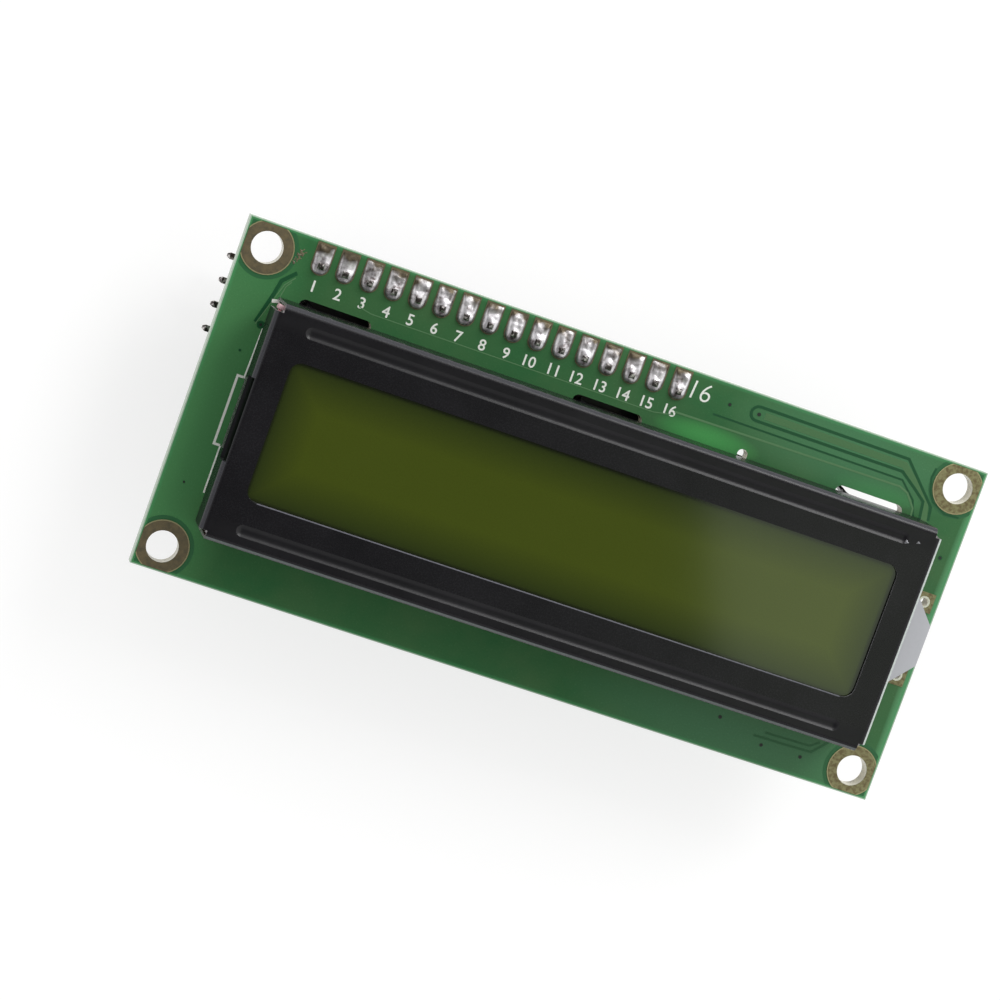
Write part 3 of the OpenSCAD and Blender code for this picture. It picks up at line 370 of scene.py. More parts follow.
# %% [markdown]
# ## Plated lands
# The lands are copper with a thin golden plating. On the front they are painted a darker brownish gold, as shade,
# more olive at the end away from pin 1, and on the back a pale bright gold that is a painted reflection of bright
# surroundings. So the colour turns with the place and the height of the surface.

# %% Finish of the lands
OLIVE_FROM = 34 * MM


def make_plated_gold():
    material, tree, _, grain = make_finish("plated_gold", 0.42, 6500, 0.5, metallic=0.35, bump=0.15)
    # Front gold painted darker, as shade.
    shaded_front_gold = stained(tree, (112, 100, 74), (90, 84, 66), 1500, 0.52, 4)
    olive = stained(tree, (134, 130, 92), (102, 90, 60), 2400, 0.52, 5)
    # Back gold painted pale and bright, as a painted reflection.
    bright = stained(tree, (244, 222, 180), (222, 192, 146), 900, 0.6, 3)
    place = axes(tree)
    front = mix_node(tree, where(tree, (place["X"], ">", OLIVE_FROM)), shaded_front_gold, olive)
    give(tree, grain, {"Colour": mix_node(tree, where(tree, (place["Z"], "<", MIDDLE_Z)), front, bright)})
    return material


PLATED_GOLD = make_plated_gold()


# %% [markdown]
# ## The bezel
# The bezel is a steel sheet, painted satin black before it is punched and folded. So the edges that the punch cuts
# show bare steel: the edge of the window and the notches at the four corners. Those places are boxes in the bezel's
# own coordinates, and the bare colour goes there. More boxes carry painted light: a grey painted sheen on the folds,
# a pale painted highlight along the lower fold, a near-white painted highlight along the right fold, and a dark
# painted shade in the cut-out of the left fold, which is also made rougher. A pale line runs under the window's lower
# edge, and the paint is rougher round the beads.

# %% Finish of the bezel
BEZEL_LOW, BEZEL_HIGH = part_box("bezel")
BEZEL_Y = -0.65 * MM
BEZEL_HALF_W = 12 * MM
WINDOW_HALF = (32.4 * MM, 7.1 * MM)
EDGE_SKIN = 0.01 * MM
CUT_FACE = (0.03 * MM, 0.29 * MM)
RIM_DEPTH, RIM_INSET = 0.09 * MM, 1.3 * MM
RELIEF = (0.85 * MM, 0.9 * MM)
END_CUT_WIDTH, END_CUT_DEPTH, END_CUT_REACH = 8.5 * MM, 2.6 * MM, 0.35 * MM
# Heights and reaches of the painted sheen and highlights on the folds.
SHEEN_TOP, SHEEN_LOW, RIGHT_HIGHLIGHT, SHEEN_REACH = 0.08 * MM, 0.52 * MM, 0.36 * MM, 0.72 * MM
LOWER_REACH, LOWER_TOP, LOWER_LOW = 0.34 * MM, 0.02 * MM, 0.26 * MM
BEAD_Y, BEAD_REACH = 10.45 * MM, 1.1 * MM
CUT_ROUGHER, BEAD_ROUGHER = 0.5, 0.07


def make_bezel_black():
    material, tree, shader, grain = make_finish(
        "bezel_black", 0.27, 5600, 0.7, specular=0.25, bump=0.14, bump_depth=0.012 * MM)
    x, y, z = axes(tree)
    from_x = math_node(tree, "ABSOLUTE", x)
    from_y = math_node(tree, "ABSOLUTE", math_node(tree, "SUBTRACT", y, BEZEL_Y))
    left, right, top = BEZEL_LOW[0], BEZEL_HIGH[0], BEZEL_HIGH[2]
    near_rim = math_node(tree, "MAXIMUM", where(tree, (from_x, ">", right - SHEEN_REACH)),
                         where(tree, (from_y, ">", BEZEL_HALF_W - SHEEN_REACH)))
    fold_sheen = where(tree, near_rim, (z, "<", top - SHEEN_TOP), (z, ">", top - SHEEN_LOW))
    cut_out = where(tree, (x, "<", left + END_CUT_REACH + EDGE_SKIN), (from_y, "<", END_CUT_WIDTH / 2 + EDGE_SKIN),
                    (z, ">", top - END_CUT_DEPTH - EDGE_SKIN))
    bare_steel_and_painted_light = [
        # Grey painted sheen on the folds.
        (fold_sheen, (52, 52, 57)),
        # Pale painted highlight along the lower fold.
        (where(tree, (y, "<", BEZEL_Y - BEZEL_HALF_W + LOWER_REACH), (z, "<", top - LOWER_TOP),
               (z, ">", top - LOWER_LOW)), (98, 104, 104)),
        # Near-white painted highlight along the right fold.
        (where(tree, fold_sheen, (x, ">", right - RIGHT_HIGHLIGHT)), (178, 186, 182)),
        (where(tree, (from_x, "<", WINDOW_HALF[0] + EDGE_SKIN), (from_y, "<", WINDOW_HALF[1] + EDGE_SKIN),
               (z, "<", top - CUT_FACE[0]), (z, ">", top - CUT_FACE[1])), (104, 104, 106)),
        (where(tree, (from_x, "<", WINDOW_HALF[0] - RIM_INSET), (from_y, "<", WINDOW_HALF[1] + RIM_DEPTH),
               (y, "<", BEZEL_Y), (z, ">", top - RIM_DEPTH)), (108, 108, 116)),
        (where(tree, (from_x, ">", right - RELIEF[0] - EDGE_SKIN),
               (from_y, ">", BEZEL_HALF_W - RELIEF[1] - EDGE_SKIN)), (128, 124, 126)),
        # Dark painted shade in the cut-out of the left fold.
        (cut_out, (34, 34, 37)),
    ]
    shown = stained(tree, (18, 17, 20), (25, 24, 27), 160, 0.5, 3)
    for mask, tone in bare_steel_and_painted_light:
        shown = mix_node(tree, mask, shown, colour(*tone))
    give(tree, grain, {"Colour": shown})
    from_bead = math_node(tree, "ABSOLUTE", math_node(tree, "SUBTRACT", from_y, BEAD_Y))
    on_bead = math_node(tree, "SUBTRACT", 1.0, math_node(tree, "DIVIDE", from_bead, BEAD_REACH), clamp=True)
    rougher = math_node(tree, "ADD", math_node(tree, "MULTIPLY", cut_out, CUT_ROUGHER),
                        math_node(tree, "MULTIPLY", on_bead, BEAD_ROUGHER))
    satin = shader.inputs["Roughness"].links[0].from_socket
    give(tree, shader, {"Roughness": math_node(tree, "ADD", satin, rougher, clamp=True)})
    return material


BEZEL_BLACK = make_bezel_black()


# %% [markdown]
# ## The display cell
# What shows in the window is the front polarizer: a plastic film with an anti-glare face that turns the pale
# backlight olive. It has a soft gloss, so a soft box above shows in it as a pale haze. Towards the edges of the
# window it is painted greener and darker as shade from the bezel, with a narrow band of painted shadow just inside
# the edges and a wider one along the right edge.

# %% Finish of the polarizers and the parts of the cell
RIGHT_SHADOW_SHIFT = 10 * MM


def make_polarizer():
    material, tree, _, grain = make_finish(
        "polarizer_olive", 0.08, 7000, 0.5, bump=0.015, roughness_swing=0.03)
    middle = (0.0, BEZEL_Y)
    film = stained(tree, (59, 70, 13), (64, 74, 19), 30, 0.5, 2)
    # Painted shade: greener and darker towards the edges of the window, then a narrow band of painted shadow just
    # inside them.
    edge_shade = banded(tree, film, (37, 47, 15), WINDOW_HALF, 2.1, 4.2, middle)
    shaded = banded(tree, edge_shade, (20, 24, 8), WINDOW_HALF, 0.16, 0.4, middle)
    # A band of painted shadow along the right edge of the window.
    right_shadow_half = (WINDOW_HALF[0] + RIGHT_SHADOW_SHIFT, 1.0)
    give(tree, grain, {"Colour": banded(tree, shaded, (10, 12, 5), right_shadow_half, 0.4, 0.4, (-RIGHT_SHADOW_SHIFT, 0.0))})
    return material


POLARIZER = make_polarizer()
CELL_GLASS = make_glass("cell_glass", (92, 100, 94), 0.02)
GUIDE_CLEAR = make_glass("guide_clear", (240, 244, 240), 0.1)
FILM_WHITE = plain("film_white", (226, 228, 224), 0.5, 2500, 0.08)
ZEBRA_RUBBER = plain("zebra_rubber", (196, 120, 134), 0.6, 3000, 0.2)


# %% [markdown]
# ## Plastics, epoxy and small parts
# The tray of the backlight is a white plastic that looks a little violet in daylight. The pin strips and
# the chip are black mouldings, the blobs over the dies are poured epoxy with a wet shine, and the trimmer
# has a blue body. Each gets its own roughness, because that is how the eye tells them apart.

# %% Finishes of the plastics
TRAY_WHITE = plain("tray_white", (186, 187, 192), 0.45, 3000, 0.1, bump=0.08)
LAMP_YELLOW = plain("lamp_yellow", (226, 206, 96), 0.4, 3000, 0.12)
EPOXY_BLACK = plain("epoxy_black", (20, 20, 22), 0.2, 700, 0.4, bump=0.3, bump_depth=0.12 * MM)
MOULDING_BLACK = plain("moulding_black", (30, 30, 31), 0.5, 5000, 0.5, specular=0.4, bump=0.25)
TRIMMER_BLUE = plain("trimmer_blue", (52, 84, 172), 0.38, 3500, 0.2)
ROTOR_GREY = plain("rotor_grey", (150, 138, 122), 0.45, 4500, 0.4, metallic=0.2)
LED_WHITE = plain("led_white", (226, 224, 214), 0.5, 4000, 0.1)
RESISTOR_BLACK = plain("resistor_black", (24, 24, 26), 0.35, 5000, 0.4)
CAPACITOR_TAN = plain("capacitor_tan", (166, 132, 92), 0.5, 5000, 0.25)
LED_RESIN = make_glass("led_resin", (226, 60, 48), 0.15)


# %% [markdown]
# ## Metal
# Pins and leads are tinned brass: bright, with fine drawing marks. Solder is the same grey metal, but
# lumpy and dulled by flux, so part of it is stained brown. The brown is strongest at the rim of each
# joint, where the mesh itself carries a painted value called bare.

# %% Finishes of the metals
TIN = (214, 210, 204)


def make_solder():
    material, tree, _, grain = make_finish(
        "solder", 0.36, 2600, 0.5, metallic=0.8, bump=0.25, bump_depth=0.05 * MM, roughness_swing=0.3)
    painted = tree.nodes.new("ShaderNodeAttribute")
    painted.attribute_name = "bare"
    flux = stained(tree, (213, 210, 213), (100, 92, 92), 1300, 0.57, 5)
    give(tree, grain, {"Colour": mix_node(tree, painted.outputs["Fac"], flux, colour(78, 70, 56))})
    return material


def make_pin_tin(name, shaded_above):
    """Tinned pin painted dark above a height, as shade and dark reflection, with pale painted glints there."""
    material, tree, _, grain = make_finish(name, 0.3, 3000, 0.3, metallic=0.85, bump=0.15)
    shaded_top = where(tree, (axes(tree)["Z"], ">", shaded_above))
    shade_and_glints = stained(tree, (74, 68, 66), (206, 202, 200), 2600, 0.53, 12)
    give(tree, grain, {"Colour": mix_node(tree, shaded_top, colour(*TIN), shade_and_glints)})
    return material


TINNED = plain("tinned_metal", TIN, 0.28, 3000, 0.25, metallic=0.9, bump=0.15)
SOLDER = make_solder()
# The header pins' tips and the upper side of the bus pins are painted dark, as shade and dark reflection, with pale
# painted glints.
PIN_TIN = make_pin_tin("pin_tin", FRONT_Z + 0.5 * MM)
BUS_TIN = make_pin_tin("bus_tin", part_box("bus_header_pins")[0][2] + 0.4 * MM)
CLIP_BRASS = plain("clip_brass", (200, 164, 92), 0.3, 3000, 0.2, metallic=0.9)


# %% [markdown]
# ## The black adapter board
# The small board has a black resist. Its sawn edges are tan, as the fibre shows there.

# %% Finish of the adapter board
def make_adapter_black():
    material, tree, _, grain = make_finish("adapter_black", 0.3, 5000, 0.4, specular=0.4, bump=0.08)
    resist = stained(tree, (40, 38, 43), (52, 48, 52), 160, 0.52, 4)
    cut = cut_board(tree, resist, (172, 152, 116), (150, 140, 120), ADAPTER_LOW, ADAPTER_HIGH)
    give(tree, grain, {"Colour": cut})
    return material


ADAPTER_BLACK = make_adapter_black()

# %% [markdown]
# ## Dressing the solids
# A node keeps its shape and its place, and only its material changes. One table says which nodes wear
# each finish.

# %% Finishes of the nodes
WEARS = [
    (BOARD_GREEN, "main_board"), (ADAPTER_BLACK, "adapter_board"), (BEZEL_BLACK, "bezel"),
    (PLATED_GOLD, "mounting_lands tab_lands header_lands backlight_lands"),
    (POLARIZER, "front_polarizer rear_polarizer"), (CELL_GLASS, "front_glass rear_glass"),
    (ZEBRA_RUBBER, "upper_zebra_strip lower_zebra_strip"), (FILM_WHITE, "diffuser reflector"),
    (GUIDE_CLEAR, "light_guide"), (TRAY_WHITE, "backlight_case"), (LAMP_YELLOW, "backlight_leds"),
    (TINNED, "backlight_leads expander_leads trimmer_pins jumper_pins transistor_leads"),
    (SOLDER, "backlight_solder board_resistor_ends front_solder rear_solder inner_solder adapter_chip_ends"),
    (MOULDING_BLACK, "header_spacer expander_body bus_header_base jumper_base jumper_cap transistor_body"),
    (EPOXY_BLACK, "controller_domes"), (RESISTOR_BLACK, "board_resistors adapter_resistors"),
    (CAPACITOR_TAN, "adapter_capacitor"), (TRIMMER_BLUE, "trimmer_body"), (ROTOR_GREY, "trimmer_rotor"),
    (PIN_TIN, "header_pins"), (BUS_TIN, "bus_header_pins"), (CLIP_BRASS, "jumper_clip"),
    (LED_WHITE, "power_led_body"), (LED_RESIN, "power_led_lens"),
]
dressed = set()
for material, names in WEARS:
    for node_name in names.split():
        node = nodes[node_name]
        if not node.material_slots:
            node.data.materials.append(material)
        for spot in node.material_slots:
            spot.material = material
        dressed.add(node_name)
print("nodes dressed:", len(dressed), "left plain:", sorted(set(nodes) - dressed))


# %% [markdown]
# ## Ending a piece
# Every new piece is a bmesh first. When its shape is done, its doubles are merged, its faces are turned
# outwards, and it becomes an object at the origin that rides on the body of the module.

# %% Helpers that place a shape and turn a bmesh into a piece
MERGE = 0.0005 * MM


def at(x, y, z, sizes=(1, 1, 1), turn=0.0):
    """Matrix that stretches a shape, turns it about z and puts it at x, y in millimetres and z in metres."""
    return Matrix.Translation((x * MM, y * MM, z)) @ Matrix.Rotation(turn, 4, "Z") @ Matrix.Diagonal((*sizes, 1))


def to_object(bm, name, material):
    """Object at the origin from a bmesh."""
    mesh = bpy.data.meshes.new(name)
    bm.to_mesh(mesh)
    bm.free()
    mesh.materials.append(material)
    made = bpy.data.objects.new(name, mesh)
    bpy.context.scene.collection.objects.link(made)
    return made


def end_piece(bm, name, material, smooth_angle=None):
    """Piece that rides on the module. Faces meeting below smooth_angle degrees are shaded smooth."""
    bmesh.ops.remove_doubles(bm, verts=bm.verts, dist=MERGE)
    bmesh.ops.recalc_face_normals(bm, faces=bm.faces)
    if smooth_angle is not None:
        for face in bm.faces:
            face.smooth = True
        for edge in bm.edges:
            edge.smooth = len(edge.link_faces) == 2 and edge.calc_face_angle(0) < math.radians(smooth_angle)
    piece = to_object(bm, name, material)
    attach(piece, "module")
    print(name, "has", len(piece.data.vertices), "points and", len(piece.data.polygons), "faces")
    return piece


# %% [markdown]
# ## Solder on the front
# Each pin ends in a bullet-shaped land, and the solder fills that land as a lumpy cushion that climbs the
# pin. One way would be a round cone on a plate, but it looks machined. Here a grid is bent to the outline
# of the land, raised by a smooth hill and roughened with noise, and its rim is pulled down and closed.

# %% Shape of one cushion of solder
LAND_HALF = 0.88 * MM
LAND_TOP = 2.14 * MM
CUSHION_GRID = (14, 26)
BASE_HEIGHT, LEAST_HEIGHT = 0.1, 0.03
PIN_HILL, PIN_REACH = 0.16, 0.55
BODY_HILL, BODY_REACH = 0.3, 1.6
COARSE_LUMPS, FINE_LUMPS = (0.09, 1.5), (0.03, 4.1)
SOLDER_SINK = 0.02 * MM
JOINT_SMOOTH = 60


def half_width(y):
    """Half width of the bullet outline at y from the pin's axis."""
    if y >= 0:
        return LAND_HALF
    return LAND_HALF * math.sqrt(max(0.0, 1 - (y / LAND_HALF) ** 2))


def add_cushion(bm, x, y, floor_z, seed, fullness):
    """Adds one cushion of solder at a pin, whose place is in millimetres."""
    columns, rows = CUSHION_GRID
    made = bmesh.ops.create_grid(bm, x_segments=columns, y_segments=rows, size=1.0)["verts"]
    bare = bm.verts.layers.float["bare"]
    shift = Vector((seed * 3.7, seed * 1.9, seed * 5.3))
    for vert in made:
        across, along = vert.co.x, (vert.co.y + 1) / 2
        place_y = -LAND_HALF + along * (LAND_HALF + LAND_TOP)
        place_x = across * half_width(place_y)

        def lumps(level, height, per_mm):
            return height * noise.noise(Vector((place_x, place_y, level)) / MM * per_mm + shift)

        from_rim = min(1 - abs(across), 1.6 * (1 - along), 1.0) if place_y > 0 else 1 - abs(across)
        from_rim = min(from_rim, (place_y + LAND_HALF) / LAND_HALF * 1.2)
        rise = 1 - (1 - min(1.0, max(0.0, from_rim) * 2.8)) ** 2
        from_pin = math.hypot(place_x, place_y) / MM
        hill = PIN_HILL * math.exp(-((from_pin / PIN_REACH) ** 2))
        hill += BODY_HILL * fullness * math.exp(-((from_pin / BODY_REACH) ** 2))
        bumps = lumps(0, *COARSE_LUMPS) + lumps(1, *FINE_LUMPS)
        height = rise * max(LEAST_HEIGHT, BASE_HEIGHT + hill + bumps) * MM
        vert.co = Vector((x * MM + place_x, y * MM + place_y, floor_z + height))
        low_rim = max(0.0, 1 - from_rim * 4.5) * (0.7 if place_y < 0.2 * MM else 0.3)
        dirt = max(0.0, lumps(2, 1.0, 1.3) + 0.4 + (1 - fullness) * 0.5)
        vert[bare] = min(1.0, low_rim + max(0.0, (place_y / MM - 1.0) * 1.1) * dirt * 1.6)
    faces = {face for vert in made for face in vert.link_faces}
    rim = [edge for edge in {edge for face in faces for edge in face.edges} if len(edge.link_faces) == 1]
    skirt = bmesh.ops.extrude_edge_only(bm, edges=rim)["geom"]
    low = [item for item in skirt if isinstance(item, bmesh.types.BMVert)]
    for vert in low:
        vert.co.z = floor_z - SOLDER_SINK / 2
    low_edges = [item for item in skirt if isinstance(item, bmesh.types.BMEdge)
                 and all(end in low for end in item.verts)]
    bmesh.ops.contextual_create(bm, geom=low_edges)


# %% Solder of the sixteen front joints
FULLNESS = [0.25, 0.5, 0.9, 0.8, 1.0, 1.05, 1.0, 0.9, 1.0, 1.1, 0.95, 1.0, 0.9, 1.05, 0.85, 1.0]
front_bm = bmesh.new()
front_bm.verts.layers.float.new("bare")
land_top_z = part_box("header_lands")[1][2]
for number, (pin_x, fullness) in enumerate(zip(PIN_X, FULLNESS)):
    add_cushion(front_bm, pin_x, ROW_Y, land_top_z - SOLDER_SINK, number + 1, fullness)
front_joints = end_piece(front_bm, "front_joints", SOLDER, JOINT_SMOOTH)
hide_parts("front_solder")


# %% [markdown]
# ## Flat ink and copper
# Printed lines and copper tracks are strips a few hundredths of a millimetre thick. A row of small boxes,
# one to each leg of the path, would overlap at the bends. So a strip starts as one flat face, its end edge
# is drawn on from point to point, mitred where the path bends, and then the whole strip is raised.
# A frame is cut by insetting one face, a pad with round ends is a disc pulled apart, and a ring that stops
# at the edge of the board is cut there with a plane. In all these helpers places and sizes are
# millimetres, and z is the pair of heights in metres between which the shape lies.

# %% Plates, discs, pads and rings
def add_plate(bm, x, y, length, width, z, turn=0.0):
    """Flat box centred on x, y."""
    sizes = (length * MM, width * MM, abs(z[1] - z[0]))
    bmesh.ops.create_cube(bm, size=1.0, matrix=at(x, y, (z[0] + z[1]) / 2, sizes, turn))


def add_disc(bm, x, y, radius, z, sides=20):
    """Flat round plate. Returns its points."""
    return bmesh.ops.create_cone(bm, cap_ends=True, segments=sides, radius1=radius * MM, radius2=radius * MM,
                                 depth=abs(z[1] - z[0]), matrix=at(x, y, (z[0] + z[1]) / 2))["verts"]


def add_pad(bm, x, y, length, width, z):
    """Flat pad with round ends, long along x."""
    for vert in add_disc(bm, 0, 0, width / 2, z, sides=18):
        vert.co.x += math.copysign((length - width) / 2 * MM, vert.co.x) + x * MM
        vert.co.y += y * MM


def add_ring(bm, x, y, inner, outer, z, sides=28):
    """Flat ring, spun from a small square."""
    start = bmesh.ops.create_grid(bm, x_segments=1, y_segments=1, size=0.5)["verts"]
    for vert in start:
        across, up = vert.co.x + 0.5, vert.co.y + 0.5
        reach = inner + (outer - inner) * across
        vert.co = Vector(((x + reach) * MM, y * MM, z[0] + (z[1] - z[0]) * up))
    face = start[0].link_faces[0]
    geom = [face] + list(face.edges) + list(face.verts)
    bmesh.ops.spin(bm, geom=geom, cent=(x * MM, y * MM, 0), axis=(0, 0, 1), dvec=(0, 0, 0), angle=2 * math.pi,
                   steps=sides, use_merge=True, use_duplicate=False)


def add_clipped_ring(bm, x, y, inner, outer, margin, z):
    """Ring that stops at a margin inside the edges of the main board."""
    part = bmesh.new()
    add_ring(part, x, y, inner, outer, z, sides=36)
    for axis in (0, 1):
        side = 1 if (x, y)[axis] > 0 else -1
        away, edge = [0, 0, 0], [0, 0, 0]
        away[axis] = side
        edge[axis] = (BOARD_HIGH if side > 0 else BOARD_LOW)[axis] - side * margin * MM
        geom = part.verts[:] + part.edges[:] + part.faces[:]
        bmesh.ops.bisect_plane(part, geom=geom, dist=1e-7, plane_co=edge, plane_no=away, clear_outer=True)
        bmesh.ops.holes_fill(part, edges=[edge for edge in part.edges if len(edge.link_faces) == 1], sides=0)
    mesh = bpy.data.meshes.new("part")
    part.to_mesh(mesh)
    part.free()
    bm.from_mesh(mesh)
    bpy.data.meshes.remove(mesh)


# %% Strips and frames
def raise_faces(bm, faces, z):
    """Draws flat faces out to a height."""
    for item in bmesh.ops.extrude_face_region(bm, geom=faces)["geom"]:
        if isinstance(item, bmesh.types.BMVert):
            item.co.z = z


def add_frame(bm, x0, y0, x1, y1, width, z):
    """Rectangular frame between two corners."""
    place = at((x0 + x1) / 2, (y0 + y1) / 2, z[0], (abs(x1 - x0) * MM, abs(y1 - y0) * MM, 1))
    made = bmesh.ops.create_grid(bm, x_segments=1, y_segments=1, size=0.5, matrix=place)["verts"]
    middle = made[0].link_faces[0]
    rim = bmesh.ops.inset_region(bm, faces=[middle], thickness=width * MM, use_even_offset=True,
                                 use_boundary=True)["faces"]
    bmesh.ops.delete(bm, geom=[middle], context="FACES")
    raise_faces(bm, rim, z[1])


def bend_offsets(points, width):
    """Sideways offsets at the points of a path that make a strip of even width, mitred at its bends."""
    legs = [(Vector(end) - Vector(start)).normalized() for start, end in zip(points, points[1:])]
    offsets = []
    for before, after in zip(legs[:1] + legs, legs + legs[-1:]):
        across = Vector((-(before.y + after.y), before.x + after.x)).normalized()
        reach = max(0.4, across.dot(Vector((-after.y, after.x))))
        offsets.append(across * width / 2 / reach)
    return offsets


def add_path(bm, points, width, z):
    """Strip along a path of points."""
    offsets = bend_offsets(points, width)

    def put(vert, index, side):
        place = Vector(points[index]) + offsets[index] * side
        vert.co = Vector((place.x * MM, place.y * MM, z[0]))

    first = bmesh.ops.create_grid(bm, x_segments=1, y_segments=1, size=0.5)["verts"]
    sides = {vert: 1 if vert.co.y > 0 else -1 for vert in first}
    ahead = [vert for vert in first if vert.co.x > 0]
    for vert in first:
        put(vert, 1 if vert.co.x > 0 else 0, sides[vert])
    faces = list(first[0].link_faces)
    edge = next(edge for edge in ahead[0].link_edges if ahead[1] in edge.verts)
    for index in range(2, len(points)):
        left = next(vert for vert in edge.verts if sides[vert] > 0)
        made = bmesh.ops.extrude_edge_only(bm, edges=[edge])["geom"]
        news = [item for item in made if isinstance(item, bmesh.types.BMVert)]
        for vert in news:
            sides[vert] = 1 if (vert.co - left.co).length < MERGE else -1
        for vert in news:
            put(vert, index, sides[vert])
        faces += [item for item in made if isinstance(item, bmesh.types.BMFace)]
        edge = next(item for item in made if isinstance(item, bmesh.types.BMEdge)
                    and all(vert in news for vert in item.verts))
    raise_faces(bm, faces, z[1])


# %% Ink and the heights between which flat shapes lie
INK = 0.02 * MM
TRACK = 0.012 * MM
INK_WHITE = plain("ink_white", (226, 230, 222), 0.55, 6000, 0.25)


def layer(face, below, above):
    """Heights below and above a board's face. Outwards is up on the front and down on a back."""
    outwards = 1 if face == FRONT_Z else -1
    return face - outwards * below, face + outwards * above


def lay(name, finish, slot, add_shape, rows, z, **more):
    """Piece made of one flat shape again and again, with one row of places and sizes to each."""
    bm = bmesh.new()
    for row in rows:
        add_shape(bm, *row, z, **more)
    end_piece(bm, name, finish)


# %% [markdown]
# ## Plain numbers
# The pins are only numbered. A text object makes the shapes, and it is turned into a mesh before it goes
# to its place, because a mesh can be put anywhere in its own coordinates and joined with the others.

# %% Numbers as meshes
def add_number(bm, words, x, y, height, z, boldness=0.012, lean=0.0):
    """Adds printed figures centred on x, y in millimetres on a board's face at z, read from outside."""
    curve = bpy.data.curves.new("figures", "FONT")
    curve.body = words
    curve.resolution_u = 3
    curve.offset = boldness
    curve.shear = lean
    curve.extrude = 0.5
    holder = bpy.data.objects.new("figures", curve)
    bpy.context.scene.collection.objects.link(holder)
    bpy.context.view_layer.update()
    mesh = bpy.data.meshes.new_from_object(holder.evaluated_get(bpy.context.evaluated_depsgraph_get()))
    xs = [v.co.x for v in mesh.vertices]
    ys = [v.co.y for v in mesh.vertices]
    face = 1 if z == FRONT_Z else -1
    scale = height * MM / (max(ys) - min(ys))
    centre = Matrix.Translation((-(max(xs) + min(xs)) / 2, -(max(ys) + min(ys)) / 2, 0))
    size = Matrix.Diagonal((scale * face, scale, INK * face, 1))
    mesh.transform(Matrix.Translation((x * MM, y * MM, z)) @ size @ centre)
    if face < 0:
        mesh.flip_normals()
    bm.from_mesh(mesh)
    bpy.data.objects.remove(holder)
    bpy.data.curves.remove(curve)
    bpy.data.meshes.remove(mesh)


# %% Print on the front of the main board
FRONT_INK = layer(FRONT_Z, INK, INK)
FIGURE_Y, FIGURE_HEIGHT = 13.42, 1.15
SIDE_MARKS = [
    ([(-35.28, 7.9), (-35.42, 2.72)], 0.16), ([(-35.42, -4.3), (-35.42, -9.2)], 0.16),
    ([(-35.45, 2.8), (-36.08, 2.8), (-36.08, -4.26), (-35.45, -4.26)], 0.24),
]
front_ink = bmesh.new()
for number, pin_x in enumerate(PIN_X):
    add_number(front_ink, str(number + 1), pin_x, FIGURE_Y, FIGURE_HEIGHT, FRONT_Z)
add_number(front_ink, "16", 8.5, 16.2, 1.85, FRONT_Z, boldness=-0.01, lean=0.08)
for path, width in SIDE_MARKS:
    add_path(front_ink, path, width, FRONT_INK)
end_piece(front_ink, "front_print", INK_WHITE)


# %% [markdown]
# ## Copper under the resist
# Tracks show as bands a little lighter than the resist around them, and the bare gaps beside them as dark
# lines, some of them faint. All lie almost flush with the board.

# %% Tracks and gaps on the front
TRACK_GREEN, GAP_GREEN, FAINT_GREEN, LINE_GREEN = [
    plain(name, tone, 0.36, 5200, contrast, specular=0.3) for name, tone, contrast in [
        ("track_green", (72, 112, 72), 0.26), ("gap_green", (24, 76, 44), 0.26),
        ("faint_green", (44, 94, 58), 0.26), ("line_green", (84, 124, 84), 0.2)]]
FRONT_STRIPS = [
    ("front_gaps", GAP_GREEN, 1.0, [
        ([(35.7, 11.4), (35.5, 12.8), (33.75, 14.5), (31.5, 16.72), (14.9, 16.74), (14.55, 16.68), (14.28, 16.48),
          (14.13, 16.2), (14.1, 15.9), (14.2, 15.6), (14.42, 15.38), (14.75, 15.27), (31.3, 15.32),
          (33.2, 14.05), (34.5, 13.1), (34.8, 11.2)], 0.3),
        ([(10.4, 14.5), (31.6, 14.5), (33.4, 12.9), (34.1, 11.2)], 0.2),
        ([(34.6, 16.75), (34.45, 15.7), (34.85, 14.3), (35.5, 13.4), (37.1, 12.6), (38.7, 12.7)], 0.22),
        ([(-33.9, 14.1), (-35.1, 12.9), (-35.4, 11.4), (-36.2, 8.3)], 0.4)]),
    ("front_faint_gaps", FAINT_GREEN, 1.0, [
        ([(26.2, -15.15), (29.5, -15.1), (32.65, -15.0), (34.25, -13.25)], 0.24),
        ([(27.3, -14.55), (32.3, -14.43), (33.2, -13.75)], 0.22)]),
    ("front_tracks", TRACK_GREEN, 0.8, [
        ([(15.6, 16.0), (31.3, 16.0), (34.7, 13.2), (35.3, 11.2)], 0.7)]),
    ("front_lines", LINE_GREEN, 1.2, [
        ([(6.6, 13.44), (31.6, 13.8), (32.6, 13.4), (33.7, 12.1), (33.8, 11.3)], 0.2),
        ([(-33.88, 13.6), (-34.7, 12.6), (-35.1, 11.4), (-36.15, 8.1)], 0.1),
        ([(-34.1, 13.1), (-34.5, 12.5), (-34.7, 11.5), (-34.7, 10.8)], 0.1),
        ([(-27.1, 13.0), (-25.7, 12.7), (4.5, 12.72), (6.6, 13.1)], 0.1)]),
]
for name, finish, lift, paths in FRONT_STRIPS:
    lay(name, finish, "board_green", add_path, paths, layer(FRONT_Z, TRACK, TRACK * lift))


# %% [markdown]
# ## Small things on the front
# Around each mounting hole the resist keeps clear of the land, which shows as a dark ring, and the land's own rim is
# a fine bright line. Vias, specks of flux beside pin 1 and two dents in the bezel are seen on the real piece as well;
# the vias are dark discs of painted shade, and the grey of the dents is a painted highlight on their edges. At the
# bezel's top left corner a bit of the rubber strip and a bit of ink show.

# %% Rings round the holes, and vias
MOUNTING_SPOTS = [(x, y) for x in (-37.5, 37.5) for y in (-15.5, 15.5)]
land_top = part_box("mounting_lands")[1][2]
